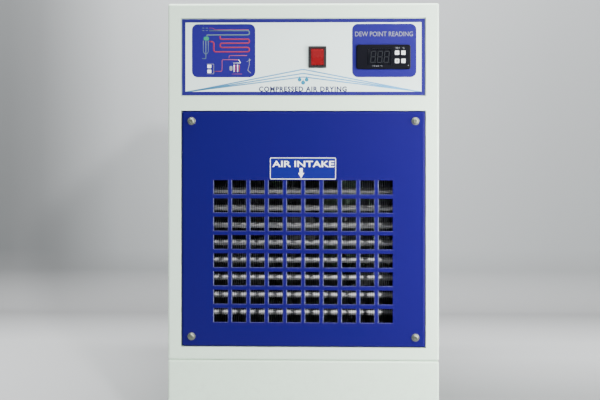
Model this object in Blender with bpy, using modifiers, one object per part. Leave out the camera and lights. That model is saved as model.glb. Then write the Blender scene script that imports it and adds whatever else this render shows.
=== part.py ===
# Refrigerated compressed-air dryer: a folded sheet-steel cabinet with a perforated front
# grille and a control strip, and inside it a condenser with its fan, a hermetic
# compressor, an insulated heat exchanger, a moisture separator and its drain.
#
# Metres, +Z up, front facing -Y, Z = 0 on the floor. Pieces are placed in the cabinet's
# own frame, whose Y = 0 is the front face, under one empty that centres the depth.

import math

import bmesh
import bpy
from mathutils import Matrix, Vector

# Cabinet
CABINET_WIDTH = 0.385
CABINET_DEPTH = 0.480
CABINET_HEIGHT = 0.640
SHEET = 0.0015
FOLD = 0.020
FOLD_RADIUS = 0.0025
GAP = 0.0003
SIDE_RAIL = 0.0185
TOP_RAIL = 0.0205
MIDDLE_RAIL = 0.0205
BOTTOM_RAIL = 0.0185
LOWER_PANEL_HEIGHT = 0.108
PAN_HEIGHT = 0.034

# Feet
FOOT_HEIGHT = 0.025
FOOT_RADIUS = 0.018
FOOT_STUD_RADIUS = 0.004
FOOT_INSET = 0.026
FOOT_TAPER = 0.003

# Louvres in the side panels
LOUVRE_LENGTH = 0.150
LOUVRE_SLOT = 0.005
LOUVRE_PITCH = 0.016
LOUVRE_TOP_MARGIN = 0.150
LOUVRE_BOTTOM_MARGIN = 0.190
LOUVRE_REAR_MARGIN = 0.060

# Front grille
GRILLE_DEPTH = 0.012
GRILLE_CLEARANCE = 0.001
GRILLE_LEDGE = 0.024
HOLE_SIDE = 0.020
HOLE_PITCH = 0.026
HOLE_SIDE_MARGIN = 0.045
HOLE_TOP_MARGIN = 0.098
HOLE_BOTTOM_MARGIN = 0.033
SCREW_INSET = 0.014
SCREW_RADIUS = 0.0025
SCREW_CLEARANCE = 0.0004
SCREW_LENGTH = 0.018
WASHER_RADIUS = 0.0062
WASHER_THICKNESS = 0.001
HEAD_RADIUS = 0.0046
HEAD_HEIGHT = 0.0026
SOCKET_RADIUS = 0.0016
SOCKET_DEPTH = 0.0016

# Control strip
CONTROL_HEIGHT = 0.111
CONTROL_RECESS = 0.0015
CONTROL_THICKNESS = 0.003
CONTROL_CLEARANCE = 0.0008
CONTROL_LEDGE = 0.006

# Rocker switch
SWITCH_X = 0.0204
BEZEL_WIDTH = 0.0255
BEZEL_HEIGHT = 0.031
BEZEL_THICKNESS = 0.002
SWITCH_BODY_WIDTH = 0.022
SWITCH_BODY_HEIGHT = 0.0286
SWITCH_BODY_DEPTH = 0.022
ROCKER_WIDTH = 0.0177
ROCKER_RADIUS = 0.0119
ROCKER_SIDE_GAP = 0.0003
ROCKER_TILT = math.radians(8)
ROCKER_FRONT_ANGLE = math.radians(25)
ROCKER_BACK_ANGLE = math.radians(20)
ROCKER_DIP = 0.0009
ROCKER_PIVOT_DEPTH = 0.003
ROCKER_PIN_RADIUS = 0.0015
ROCKER_PIN_REACH = 0.0012
CAVITY_DEPTH = 0.0105

# Temperature controller
CONTROLLER_INSET = 0.060
CONTROLLER_WIDTH = 0.077
CONTROLLER_HEIGHT = 0.035
CONTROLLER_FACE = 0.0025
CONTROLLER_CORNER = 0.0035
CORNER_STEPS = 5
CONTROLLER_EDGE = 0.0012
CONTROLLER_BODY_WIDTH = 0.0705
CONTROLLER_BODY_HEIGHT = 0.0285
CONTROLLER_BODY_DEPTH = 0.058
DISPLAY_X = -0.0058
DISPLAY_WIDTH = 0.034
DISPLAY_HEIGHT = 0.022
DISPLAY_THICKNESS = 0.0012
KEY_SIDE = 0.0058
KEY_X = 0.0235
KEY_PITCH_X = 0.0089
KEY_PITCH_Z = 0.0116
KEY_PROUD = 0.0009
KEY_DEPTH = 0.004
KEY_TRAVEL = 0.0006

# Condenser
COIL_FRONT = 0.030
COIL_DEPTH = 0.030
COIL_RISE = 0.0035
COIL_LEFT_MARGIN = 0.0425
COIL_RIGHT_MARGIN = 0.0605
TUBE_PITCH = 0.0254
TUBE_RADIUS = 0.00476
TUBE_STUB = 0.008
BEND_STEPS = 4
HOLE_SIDES = 8

# Fan, shroud and motor
SHROUD_DEPTH = 0.040
SHROUD_MARGIN = 0.024
COLLAR_DEPTH = 0.014
TIP_CLEARANCE = 0.004
HUB_RADIUS = 0.028
HUB_DEPTH = 0.022
BLADE_COUNT = 5
BLADE_SPAN_ANGLE = math.radians(48)
BLADE_RISE = 0.020
BLADE_THICKNESS = 0.0016
SHAFT_RADIUS = 0.004
SHAFT_REACH = 0.022
SHAFT_CLEARANCE = 0.0004
MOTOR_RADIUS = 0.040
MOTOR_DEPTH = 0.052
MOTOR_GAP = 0.006
STRAP_WIDTH = 0.030
STRAP_TAB = 0.015

# Electrics
SHELF_FRONT = 0.018
SHELF_DEPTH = 0.180
SHELF_LIP = 0.010
SHELF_SIDE_GAP = 0.004
TERMINAL_SIZE = Vector((0.090, 0.032, 0.026))
TERMINAL_STEP = 0.010
CAPACITOR_RADIUS = 0.018
CAPACITOR_HEIGHT = 0.068
ELECTRICS_Y = 0.120
ELECTRICS_X = 0.070

# Compressor
SHELL_RADIUS = 0.066
SHELL_HEIGHT = 0.170
SHELL_DOME = 0.030
SHELL_REAR_GAP = 0.042
PLATE_SIDE = 0.136
PLATE_THICKNESS = 0.003
GROMMET_RADIUS = 0.012
GROMMET_HEIGHT = 0.014
GROMMET_INSET = 0.016
WALL_GAP = 0.003
STUB_RADIUS = 0.007
STUB_HEIGHT = 0.014
STUB_OFFSET = 0.036
COVER_SIZE = Vector((0.056, 0.028, 0.070))

# Heat exchanger, separator and drain
FOAM = 0.012
CORE_WIDTH = 0.090
CORE_DEPTH = 0.105
CORE_HEIGHT = 0.245
EXCHANGER_REAR_GAP = 0.030
SEPARATOR_RADIUS = 0.028
SEPARATOR_HEIGHT = 0.130
SEPARATOR_SIDE_GAP = 0.004
SEPARATOR_RISE = 0.060
DRAIN_RISE = 0.020
DRAIN_BLOCK = 0.030
DRAIN_COIL_LENGTH = 0.040
DRAIN_COIL_RADIUS = 0.0135
DRAIN_PIPE_RADIUS = 0.005

# Rear fittings
PORT_DROP = 0.110
PORT_SPACING = 0.052
PORT_FLATS = 0.036
PORT_REACH = 0.024
PORT_THREAD_RADIUS = 0.0155
PORT_INSIDE = 0.022
PORT_BORE_RADIUS = 0.012
PORT_BORE_DEPTH = 0.030
HOLE_CLEARANCE = 0.0006
AIR_PIPE_RADIUS = 0.010
AIR_PIPE_BEND = 0.030
GLAND_X = 0.130
GLAND_DROP = 0.150
GLAND_RADIUS = 0.010
GLAND_BORE_RADIUS = 0.0045
GLAND_REACH = 0.020
VALVE_RADIUS = 0.009
VALVE_REACH = 0.022
VALVE_BORE_RADIUS = 0.0035
VALVE_BORE_DEPTH = 0.010
VALVE_STEM_Y = 0.010
VALVE_STEM_RADIUS = 0.004
VALVE_STEM_HEIGHT = 0.016
LEVER_LENGTH = 0.038
LEVER_WIDTH = 0.009
LEVER_THICKNESS = 0.002

# Refrigerant pipes
PIPE_RADIUS = 0.00476
PIPE_BEND = 0.014
DRIER_RADIUS = 0.016
DRIER_LENGTH = 0.095
DRIER_Y = 0.150
CAPILLARY_RADIUS = 0.0016
CAPILLARY_COIL_RADIUS = 0.026
CAPILLARY_TURNS = 3
CAPILLARY_RISE = 0.009
CAPILLARY_STEPS = 12

# Heights and places worked out from the sizes above
HALF_WIDTH = CABINET_WIDTH / 2
SEAM_Z = FOOT_HEIGHT + LOWER_PANEL_HEIGHT
WINDOW_HALF = HALF_WIDTH - SIDE_RAIL
GRILLE_LOW = SEAM_Z + BOTTOM_RAIL
CONTROL_HIGH = CABINET_HEIGHT - TOP_RAIL
CONTROL_LOW = CONTROL_HIGH - CONTROL_HEIGHT
CONTROL_MIDDLE = (CONTROL_HIGH + CONTROL_LOW) / 2
GRILLE_HIGH = CONTROL_LOW - MIDDLE_RAIL
GRILLE_SEAT = GRILLE_DEPTH + GAP
CONTROL_SEAT = CONTROL_RECESS + CONTROL_THICKNESS + GAP
PAN_HALF = HALF_WIDTH - FOLD - GAP
PAN_FRONT = SHEET + GAP
PAN_REAR = CABINET_DEPTH - SHEET - GAP
FLOOR_Z = FOOT_HEIGHT + SHEET + GAP
ROOF_Z = CABINET_HEIGHT - FOLD - GAP
CONTROLLER_X = WINDOW_HALF - CONTROLLER_INSET
FACE_BACK = CONTROL_RECESS - GAP
ROCKER_PIVOT_Y = FACE_BACK - BEZEL_THICKNESS + ROCKER_PIVOT_DEPTH
COIL_LEFT = -HALF_WIDTH + COIL_LEFT_MARGIN
COIL_RIGHT = HALF_WIDTH - COIL_RIGHT_MARGIN
TUBE_COUNT = 2 * int((GRILLE_HIGH - GRILLE_LOW - COIL_RISE) / TUBE_PITCH / 2)
COIL_LOW = GRILLE_LOW + COIL_RISE
COIL_HIGH = COIL_LOW + TUBE_COUNT * TUBE_PITCH
COIL_X = (COIL_LEFT + COIL_RIGHT) / 2
COIL_Z = (COIL_LOW + COIL_HIGH) / 2
TUBE_Y = COIL_FRONT + COIL_DEPTH / 2
TUBE_END_X = COIL_RIGHT + GAP + SHEET + TUBE_STUB
SHROUD_FRONT = COIL_FRONT + COIL_DEPTH + GAP
SHROUD_REAR = SHROUD_FRONT + SHROUD_DEPTH
OPENING_RADIUS = min(COIL_RIGHT - COIL_LEFT, COIL_HIGH - COIL_LOW) / 2 - SHROUD_MARGIN
MOTOR_FRONT = SHROUD_REAR + COLLAR_DEPTH + MOTOR_GAP
SHELF_Z = COIL_HIGH + SHEET + GAP
COMPRESSOR_X = PAN_HALF - SHEET - WALL_GAP - PLATE_SIDE / 2
COMPRESSOR_Y = CABINET_DEPTH - SHELL_REAR_GAP - SHELL_RADIUS
SHELL_Z = FLOOR_Z + GROMMET_HEIGHT + GAP
STUB_TOP = SHELL_Z + SHELL_HEIGHT + STUB_HEIGHT
EXCHANGER_X = -(PAN_HALF - SHEET - WALL_GAP - FOAM - CORE_WIDTH / 2)
EXCHANGER_Y = CABINET_DEPTH - EXCHANGER_REAR_GAP - FOAM - CORE_DEPTH / 2
CORE_Z = FLOOR_Z + FOAM + GAP
CORE_TOP = CORE_Z + CORE_HEIGHT
PORT_Z = CABINET_HEIGHT - PORT_DROP
GLAND_Z = CABINET_HEIGHT - GLAND_DROP
SEPARATOR_X = EXCHANGER_X + CORE_WIDTH / 2 + FOAM + GAP + SEPARATOR_SIDE_GAP + SEPARATOR_RADIUS
SEPARATOR_Y = CABINET_DEPTH - SHEET - GAP - SEPARATOR_RADIUS
DRAIN_Z = STUB_TOP + DRAIN_RISE
SEPARATOR_Z = DRAIN_Z + SEPARATOR_RISE
DRIER_Z = FLOOR_Z + DRIER_RADIUS
FRONT_REACH = max(
    GAP + WASHER_THICKNESS + HEAD_HEIGHT,
    ROCKER_RADIUS * math.sin(ROCKER_FRONT_ANGLE + ROCKER_TILT) - ROCKER_PIVOT_Y,
)
REAR_REACH = max(PORT_REACH, GLAND_REACH, VALVE_REACH)
DEPTH_SHIFT = (FRONT_REACH - CABINET_DEPTH - REAR_REACH) / 2

# Colour, roughness and metallic value of each finish
FINISHES = {
    "cabinet_white": ((0.66, 0.70, 0.67), 0.42, 0.0),
    "control_white": ((0.69, 0.71, 0.70), 0.35, 0.0),
    "grille_blue": ((0.016, 0.032, 0.27), 0.38, 0.0),
    "zinc": ((0.60, 0.60, 0.58), 0.28, 1.0),
    "black_plastic": ((0.02, 0.02, 0.022), 0.40, 0.0),
    "rocker_red": ((0.43, 0.03, 0.035), 0.28, 0.0),
    "controller_black": ((0.012, 0.013, 0.017), 0.35, 0.0),
    "display_lens": ((0.01, 0.011, 0.014), 0.08, 0.0),
    "key_white": ((0.78, 0.79, 0.80), 0.45, 0.0),
    "fin_aluminium": ((0.62, 0.64, 0.66), 0.35, 1.0),
    "copper": ((0.72, 0.38, 0.26), 0.30, 1.0),
    "galvanised": ((0.55, 0.57, 0.58), 0.42, 0.9),
    "fan_aluminium": ((0.50, 0.51, 0.52), 0.45, 1.0),
    "motor_black": ((0.03, 0.03, 0.032), 0.50, 0.2),
    "compressor_black": ((0.018, 0.018, 0.02), 0.36, 0.1),
    "rubber": ((0.025, 0.025, 0.025), 0.80, 0.0),
    "foam_black": ((0.03, 0.03, 0.032), 0.90, 0.0),
    "stainless": ((0.60, 0.60, 0.59), 0.30, 1.0),
    "brass": ((0.70, 0.52, 0.25), 0.32, 1.0),
    "terminal_grey": ((0.45, 0.46, 0.47), 0.50, 0.0),
    "capacitor_white": ((0.72, 0.72, 0.70), 0.45, 0.0),
    "lever_red": ((0.45, 0.03, 0.03), 0.45, 0.0),
}

for stale in list(bpy.data.objects):
    bpy.data.objects.remove(stale, do_unlink=True)

parts = bpy.data.collections.new("air_dryer")
cutters = bpy.data.collections.new("cutters")
bpy.context.scene.collection.children.link(parts)
bpy.context.scene.collection.children.link(cutters)
cabinet_frame = bpy.data.objects.new("cabinet_frame", None)
cabinet_frame.location.y = DEPTH_SHIFT
parts.objects.link(cabinet_frame)


# Shared shapes

def finish(name):
    """The material of that finish, made once."""
    if name in bpy.data.materials:
        return bpy.data.materials[name]
    colour, roughness, metallic = FINISHES[name]
    material = bpy.data.materials.new(name)
    material.use_nodes = True
    surface = material.node_tree.nodes["Principled BSDF"]
    surface.inputs["Base Color"].default_value = (*colour, 1.0)
    surface.inputs["Roughness"].default_value = roughness
    surface.inputs["Metallic"].default_value = metallic
    return material


def place(name, data, look, location=(0, 0, 0)):
    """An object under the cabinet's frame; with no finish it is a cutter or a joined-in piece."""
    thing = bpy.data.objects.new(name, data)
    thing.location = location
    thing.parent = cabinet_frame
    if look:
        parts.objects.link(thing)
        data.materials.append(finish(look))
    else:
        cutters.objects.link(thing)
        thing.hide_render = True
        thing.display_type = "WIRE"
    return thing


def mesh_of(name, bm, smooth=False):
    mesh = bpy.data.meshes.new(name)
    bm.to_mesh(mesh)
    bm.free()
    if smooth:
        mesh.shade_smooth()
        mesh.set_sharp_from_angle(angle=math.radians(35))
    return mesh


def box_into(bm, low, high):
    low, high = Vector(low), Vector(high)
    size = Matrix.Diagonal((*(high - low), 1.0))
    bmesh.ops.create_cube(bm, size=1.0, matrix=Matrix.Translation((low + high) / 2) @ size)


def rod_into(bm, start, end, radius, sides):
    start, end = Vector(start), Vector(end)
    turn = Vector((0, 0, 1)).rotation_difference(end - start).to_matrix().to_4x4()
    bmesh.ops.create_cone(
        bm,
        cap_ends=True,
        segments=sides,
        radius1=radius,
        radius2=radius,
        depth=(end - start).length,
        matrix=Matrix.Translation((start + end) / 2) @ turn,
    )


def block(name, low, high, look, edge=0.0, segments=1, corner=0.0):
    """A box between two corners, with its edges rounded; corner rounds the four edges along Y."""
    low, high = Vector(low), Vector(high)
    middle = (low + high) / 2
    bm = bmesh.new()
    box_into(bm, low - middle, high - middle)
    if corner:
        along = [line for line in bm.edges if abs(line.verts[0].co.y - line.verts[1].co.y) > GAP]
        bmesh.ops.bevel(bm, geom=along, offset=corner, segments=CORNER_STEPS, affect="EDGES", profile=0.5)
    thing = place(name, mesh_of(name, bm), look, middle)
    if edge:
        bevel = thing.modifiers.new("Edges", "BEVEL")
        bevel.width = edge
        bevel.segments = segments
    return thing


def boxes(name, corners):
    """A cutter of separate boxes, each between two corners."""
    bm = bmesh.new()
    for low, high in corners:
        box_into(bm, low, high)
    return place(name, mesh_of(name, bm), None)


def rods(name, ends, radius, sides=16, look=None):
    """Separate cylinders of one radius, each between two points."""
    bm = bmesh.new()
    for start, end in ends:
        rod_into(bm, start, end, radius, sides)
    return place(name, mesh_of(name, bm, smooth=True), look)


def cut(thing, cutter):
    boolean = thing.modifiers.new("Cut", "BOOLEAN")
    boolean.operation = "DIFFERENCE"
    boolean.object = cutter


def join(thing, other):
    boolean = thing.modifiers.new("Join", "BOOLEAN")
    boolean.operation = "UNION"
    boolean.object = other


def turned(name, profile, look, location=(0, 0, 0), steps=24):
    """A shape turned about its own Z axis, from (radius, height) points down its outer side."""
    mesh = bpy.data.meshes.new(name)
    points = [(radius, 0, height) for radius, height in profile]
    edges = [(i, i + 1) for i in range(len(points) - 1)]
    mesh.from_pydata(points, edges, [])
    thing = place(name, mesh, look, location)
    screw = thing.modifiers.new("Turn", "SCREW")
    screw.steps = steps
    screw.render_steps = steps
    screw.use_merge_vertices = True
    screw.merge_threshold = 0.00001
    return thing


def arc(centre, radius, start, end, steps):
    """(radius, height) points of an arc in a turned profile, its angles in degrees from +X."""
    angles = [math.radians(start + (end - start) * i / steps) for i in range(steps + 1)]
    return [(centre[0] + radius * math.cos(a), centre[1] + radius * math.sin(a)) for a in angles]


def sheet_box(name, low, high, open_sides, look):
    """Folded sheet: the outer faces of a box, without the sides named."""
    outward = {
        "-X": (-1, 0, 0),
        "+X": (1, 0, 0),
        "-Y": (0, -1, 0),
        "+Y": (0, 1, 0),
        "-Z": (0, 0, -1),
        "+Z": (0, 0, 1),
    }
    low, high = Vector(low), Vector(high)
    middle = (low + high) / 2
    bm = bmesh.new()
    box_into(bm, low - middle, high - middle)
    bm.normal_update()
    away = [face for side in open_sides for face in bm.faces
            if face.normal.dot(Vector(outward[side])) > 0.9]
    bmesh.ops.delete(bm, geom=away, context="FACES")
    thing = place(name, mesh_of(name, bm), look, middle)
    folds = thing.modifiers.new("Folds", "BEVEL")
    folds.width = FOLD_RADIUS
    folds.segments = 2
    skin = thing.modifiers.new("Sheet", "SOLIDIFY")
    skin.thickness = SHEET
    skin.offset = -1.0
    skin.use_even_offset = True
    return thing


def rounded_path(corners, radius, steps=BEND_STEPS):
    """Straight runs between the corners, with an arc of that radius at each bend."""
    corners = [Vector(corner) for corner in corners]
    path = [corners[0]]
    for before, corner, after in zip(corners, corners[1:], corners[2:]):
        back = (before - corner).normalized()
        onward = (after - corner).normalized()
        half = back.angle(onward) / 2
        centre = corner + (back + onward).normalized() * radius / math.sin(half)
        start = (corner + back * radius / math.tan(half) - centre).normalized()
        end = (corner + onward * radius / math.tan(half) - centre).normalized()
        path += [centre + start.slerp(end, i / steps) * radius for i in range(steps + 1)]
    path.append(corners[-1])
    return path


def tube(name, path, radius, look, detail=2):
    """A round bar along a path of points."""
    curve = bpy.data.curves.new(name, "CURVE")
    curve.dimensions = "3D"
    curve.bevel_depth = radius
    curve.bevel_resolution = detail
    curve.use_fill_caps = True
    spline = curve.splines.new("POLY")
    spline.points.add(len(path) - 1)
    for point, target in zip(spline.points, path):
        point.co = (*target, 1.0)
    return place(name, curve, look)


def flat_piece(name, outline, thickness, look):
    """A closed outline in the XY plane, extruded both ways along Z and made a mesh."""
    curve = bpy.data.curves.new(name, "CURVE")
    curve.dimensions = "2D"
    curve.fill_mode = "BOTH"
    curve.extrude = thickness / 2
    spline = curve.splines.new("POLY")
    spline.use_cyclic_u = True
    spline.points.add(len(outline) - 1)
    for point, (x, y) in zip(spline.points, outline):
        point.co = (x, y, 0.0, 1.0)
    drawn = bpy.data.objects.new(name + "_outline", curve)
    cutters.objects.link(drawn)
    bpy.context.view_layer.update()
    graph = bpy.context.evaluated_depsgraph_get()
    mesh = bpy.data.meshes.new_from_object(drawn.evaluated_get(graph))
    bpy.data.objects.remove(drawn)
    bm = bmesh.new()
    bm.from_mesh(mesh)
    bmesh.ops.remove_doubles(bm, verts=bm.verts, dist=0.000001)
    bmesh.ops.recalc_face_normals(bm, faces=bm.faces)
    bm.to_mesh(mesh)
    bm.free()
    return place(name, mesh, look)


def at_corners(half_x, low_z, high_z):
    return [(side * half_x, height) for height in (high_z, low_z) for side in (-1, 1)]


# Cabinet panels

def make_front_panel():
    """The upper front: a folded tray with two windows, each with a seat folded in behind it."""
    panel = sheet_box(
        "front_panel",
        (-HALF_WIDTH, 0, SEAM_Z + GAP),
        (HALF_WIDTH, FOLD, CABINET_HEIGHT),
        ["+Y"],
        "cabinet_white",
    )
    windows = (
        ("grille", GRILLE_LOW, GRILLE_HIGH, GRILLE_SEAT, GRILLE_LEDGE),
        ("control", CONTROL_LOW, CONTROL_HIGH, CONTROL_SEAT, CONTROL_LEDGE),
    )
    for label, low, high, seat, ledge in windows:
        frame = block(
            label + "_seat",
            (-WINDOW_HALF - SHEET, SHEET / 2, low - SHEET),
            (WINDOW_HALF + SHEET, seat + SHEET, high + SHEET),
            None,
        )
        join(panel, frame)
        window = boxes(
            label + "_window",
            [((-WINDOW_HALF, -FOLD, low), (WINDOW_HALF, seat, high))],
        )
        cut(panel, window)
        opening = boxes(
            label + "_opening",
            [((ledge - WINDOW_HALF, -FOLD, low + ledge), (WINDOW_HALF - ledge, FOLD, high - ledge))],
        )
        cut(panel, opening)
    cut(panel, bpy.data.objects["screw_bores"])


def make_screw_bores():
    """The clearance holes for the grille's screws, through its face and the seat behind it."""
    half = WINDOW_HALF - GRILLE_CLEARANCE - SCREW_INSET
    low = GRILLE_LOW + GRILLE_CLEARANCE + SCREW_INSET
    high = GRILLE_HIGH - GRILLE_CLEARANCE - SCREW_INSET
    ends = [((x, -FOLD, z), (x, FOLD, z)) for x, z in at_corners(half, low, high)]
    rods("screw_bores", ends, SCREW_RADIUS + SCREW_CLEARANCE, sides=12)


def make_lower_front_panel():
    sheet_box(
        "lower_front_panel",
        (-HALF_WIDTH, 0, FOOT_HEIGHT),
        (HALF_WIDTH, FOLD, SEAM_Z),
        ["+Y", "-Z"],
        "cabinet_white",
    )


def make_side_panels():
    """Both sides, with a column of louvre slots for the warm air behind the condenser."""
    front = FOLD + GAP
    rear = CABINET_DEPTH - FOLD - GAP
    slot_rear = CABINET_DEPTH - LOUVRE_REAR_MARGIN
    room = ROOF_Z - LOUVRE_TOP_MARGIN - FOOT_HEIGHT - LOUVRE_BOTTOM_MARGIN
    slots = []
    for i in range(int(room / LOUVRE_PITCH)):
        z = ROOF_Z - LOUVRE_TOP_MARGIN - i * LOUVRE_PITCH
        low = (-HALF_WIDTH - FOLD, slot_rear - LOUVRE_LENGTH, z - LOUVRE_SLOT)
        slots.append((low, (HALF_WIDTH + FOLD, slot_rear, z)))
    louvres = boxes("louvre_slots", slots)
    for name, inner, outer, open_side in (
        ("left_side_panel", FOLD - HALF_WIDTH, -HALF_WIDTH, "+X"),
        ("right_side_panel", HALF_WIDTH - FOLD, HALF_WIDTH, "-X"),
    ):
        panel = sheet_box(
            name,
            (min(inner, outer), front, FOOT_HEIGHT),
            (max(inner, outer), rear, ROOF_Z),
            [open_side, "-Z"],
            "cabinet_white",
        )
        cut(panel, louvres)


def make_top_cover():
    sheet_box(
        "top_cover",
        (-HALF_WIDTH, FOLD + GAP, CABINET_HEIGHT - FOLD),
        (HALF_WIDTH, CABINET_DEPTH, CABINET_HEIGHT),
        ["-Z"],
        "cabinet_white",
    )


def make_rear_panel():
    """The rear panel, with holes for the two air ports, the cable gland and the drain."""
    panel = sheet_box(
        "rear_panel",
        (-HALF_WIDTH, CABINET_DEPTH - FOLD, FOOT_HEIGHT),
        (HALF_WIDTH, CABINET_DEPTH, ROOF_Z),
        ["-Y", "-Z"],
        "cabinet_white",
    )
    holes = (
        ("inlet", EXCHANGER_X - PORT_SPACING / 2, PORT_Z, PORT_THREAD_RADIUS),
        ("outlet", EXCHANGER_X + PORT_SPACING / 2, PORT_Z, PORT_THREAD_RADIUS),
        ("gland", GLAND_X, GLAND_Z, GLAND_RADIUS),
        ("drain", SEPARATOR_X, DRAIN_Z, VALVE_RADIUS),
    )
    for label, x, z, radius in holes:
        ends = [((x, CABINET_DEPTH - FOLD, z), (x, CABINET_DEPTH + FOLD, z))]
        cut(panel, rods(label + "_hole", ends, radius + HOLE_CLEARANCE, sides=24))


def make_base_pan():
    """The pan that carries the compressor, the exchanger and the condenser's end plates."""
    pan = sheet_box(
        "base_pan",
        (-PAN_HALF, PAN_FRONT, FOOT_HEIGHT),
        (PAN_HALF, PAN_REAR, FOOT_HEIGHT + PAN_HEIGHT),
        ["+Z"],
        "galvanised",
    )
    ends = [((x, y, 0), (x, y, FLOOR_Z + GAP)) for x, y in foot_places()]
    cut(pan, rods("foot_bores", ends, FOOT_STUD_RADIUS + GAP * 2, sides=12))


def foot_places():
    return [
        (side * (PAN_HALF - FOOT_INSET), y)
        for y in (PAN_FRONT + FOOT_INSET, PAN_REAR - FOOT_INSET)
        for side in (-1, 1)
    ]


def make_feet():
    """Rubber feet, each with a stud up through the pan."""
    profile = [
        (0, SHEET + GAP),
        (FOOT_STUD_RADIUS, SHEET + GAP),
        (FOOT_STUD_RADIUS, -GAP),
        (FOOT_RADIUS, -GAP),
        (FOOT_RADIUS - FOOT_TAPER, -FOOT_HEIGHT),
        (0, -FOOT_HEIGHT),
    ]
    names = ("front_left", "front_right", "rear_left", "rear_right")
    for name, (x, y) in zip(names, foot_places()):
        turned("foot_" + name, profile, "rubber", (x, y, FOOT_HEIGHT), steps=16)


# Front grille

def make_grille():
    """The perforated front plate, with as many square holes as its margins leave room for."""
    half = WINDOW_HALF - GRILLE_CLEARANCE
    low = GRILLE_LOW + GRILLE_CLEARANCE
    high = GRILLE_HIGH - GRILLE_CLEARANCE
    panel = sheet_box(
        "grille_panel", (-half, 0, low), (half, GRILLE_DEPTH, high), ["+Y"], "grille_blue"
    )
    columns = 1 + int((2 * (half - HOLE_SIDE_MARGIN) - HOLE_SIDE) / HOLE_PITCH)
    rows = 1 + int((high - low - HOLE_TOP_MARGIN - HOLE_BOTTOM_MARGIN - HOLE_SIDE) / HOLE_PITCH)
    left = -((columns - 1) * HOLE_PITCH + HOLE_SIDE) / 2
    holes = []
    for row in range(rows):
        top = high - HOLE_TOP_MARGIN - row * HOLE_PITCH
        for column in range(columns):
            x = left + column * HOLE_PITCH
            holes.append(((x, -FOLD, top - HOLE_SIDE), (x + HOLE_SIDE, GRILLE_DEPTH / 2, top)))
    cut(panel, boxes("grille_holes", holes))
    cut(panel, bpy.data.objects["screw_bores"])


def make_grille_screws():
    """Button-head screws with captive washers, one near each corner of the grille."""
    under = GAP
    washer = under + WASHER_THICKNESS
    top = washer + HEAD_HEIGHT
    profile = [
        (0, top - SOCKET_DEPTH),
        (SOCKET_RADIUS, top - SOCKET_DEPTH),
        (SOCKET_RADIUS, top),
        (HEAD_RADIUS * 0.6, top - HEAD_HEIGHT * 0.12),
        (HEAD_RADIUS, washer + HEAD_HEIGHT * 0.35),
        (HEAD_RADIUS, washer),
        (WASHER_RADIUS, washer),
        (WASHER_RADIUS, under),
        (SCREW_RADIUS, under),
        (SCREW_RADIUS, -SCREW_LENGTH),
        (0, -SCREW_LENGTH),
    ]
    half = WINDOW_HALF - GRILLE_CLEARANCE - SCREW_INSET
    low = GRILLE_LOW + GRILLE_CLEARANCE + SCREW_INSET
    high = GRILLE_HIGH - GRILLE_CLEARANCE - SCREW_INSET
    names = ("upper_left", "upper_right", "lower_left", "lower_right")
    for name, (x, z) in zip(names, at_corners(half, low, high)):
        screw = turned("grille_screw_" + name, profile, "zinc", (x, 0, z), steps=12)
        screw.rotation_euler.x = math.radians(90)


# Control strip

def make_control_plate():
    """The flat plate behind the upper window, cut out for the switch and the controller."""
    half = WINDOW_HALF - CONTROL_CLEARANCE
    plate = block(
        "control_plate",
        (-half, CONTROL_RECESS, CONTROL_LOW + CONTROL_CLEARANCE),
        (half, CONTROL_RECESS + CONTROL_THICKNESS, CONTROL_HIGH - CONTROL_CLEARANCE),
        "control_white",
    )
    openings = (
        (SWITCH_X, SWITCH_BODY_WIDTH, SWITCH_BODY_HEIGHT),
        (CONTROLLER_X, CONTROLLER_BODY_WIDTH, CONTROLLER_BODY_HEIGHT),
    )
    corners = []
    for x, width, height in openings:
        reach = Vector((width / 2 + GAP, FOLD, height / 2 + GAP))
        middle = Vector((x, 0, CONTROL_MIDDLE))
        corners.append((middle - reach, middle + reach))
    cut(plate, boxes("control_openings", corners))


def centred_box(x, z, width, height, front, rear):
    """Corners of a box on the control strip, centred at x and z."""
    low = (x - width / 2, front, z - height / 2)
    return low, (x + width / 2, rear, z + height / 2)


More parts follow.
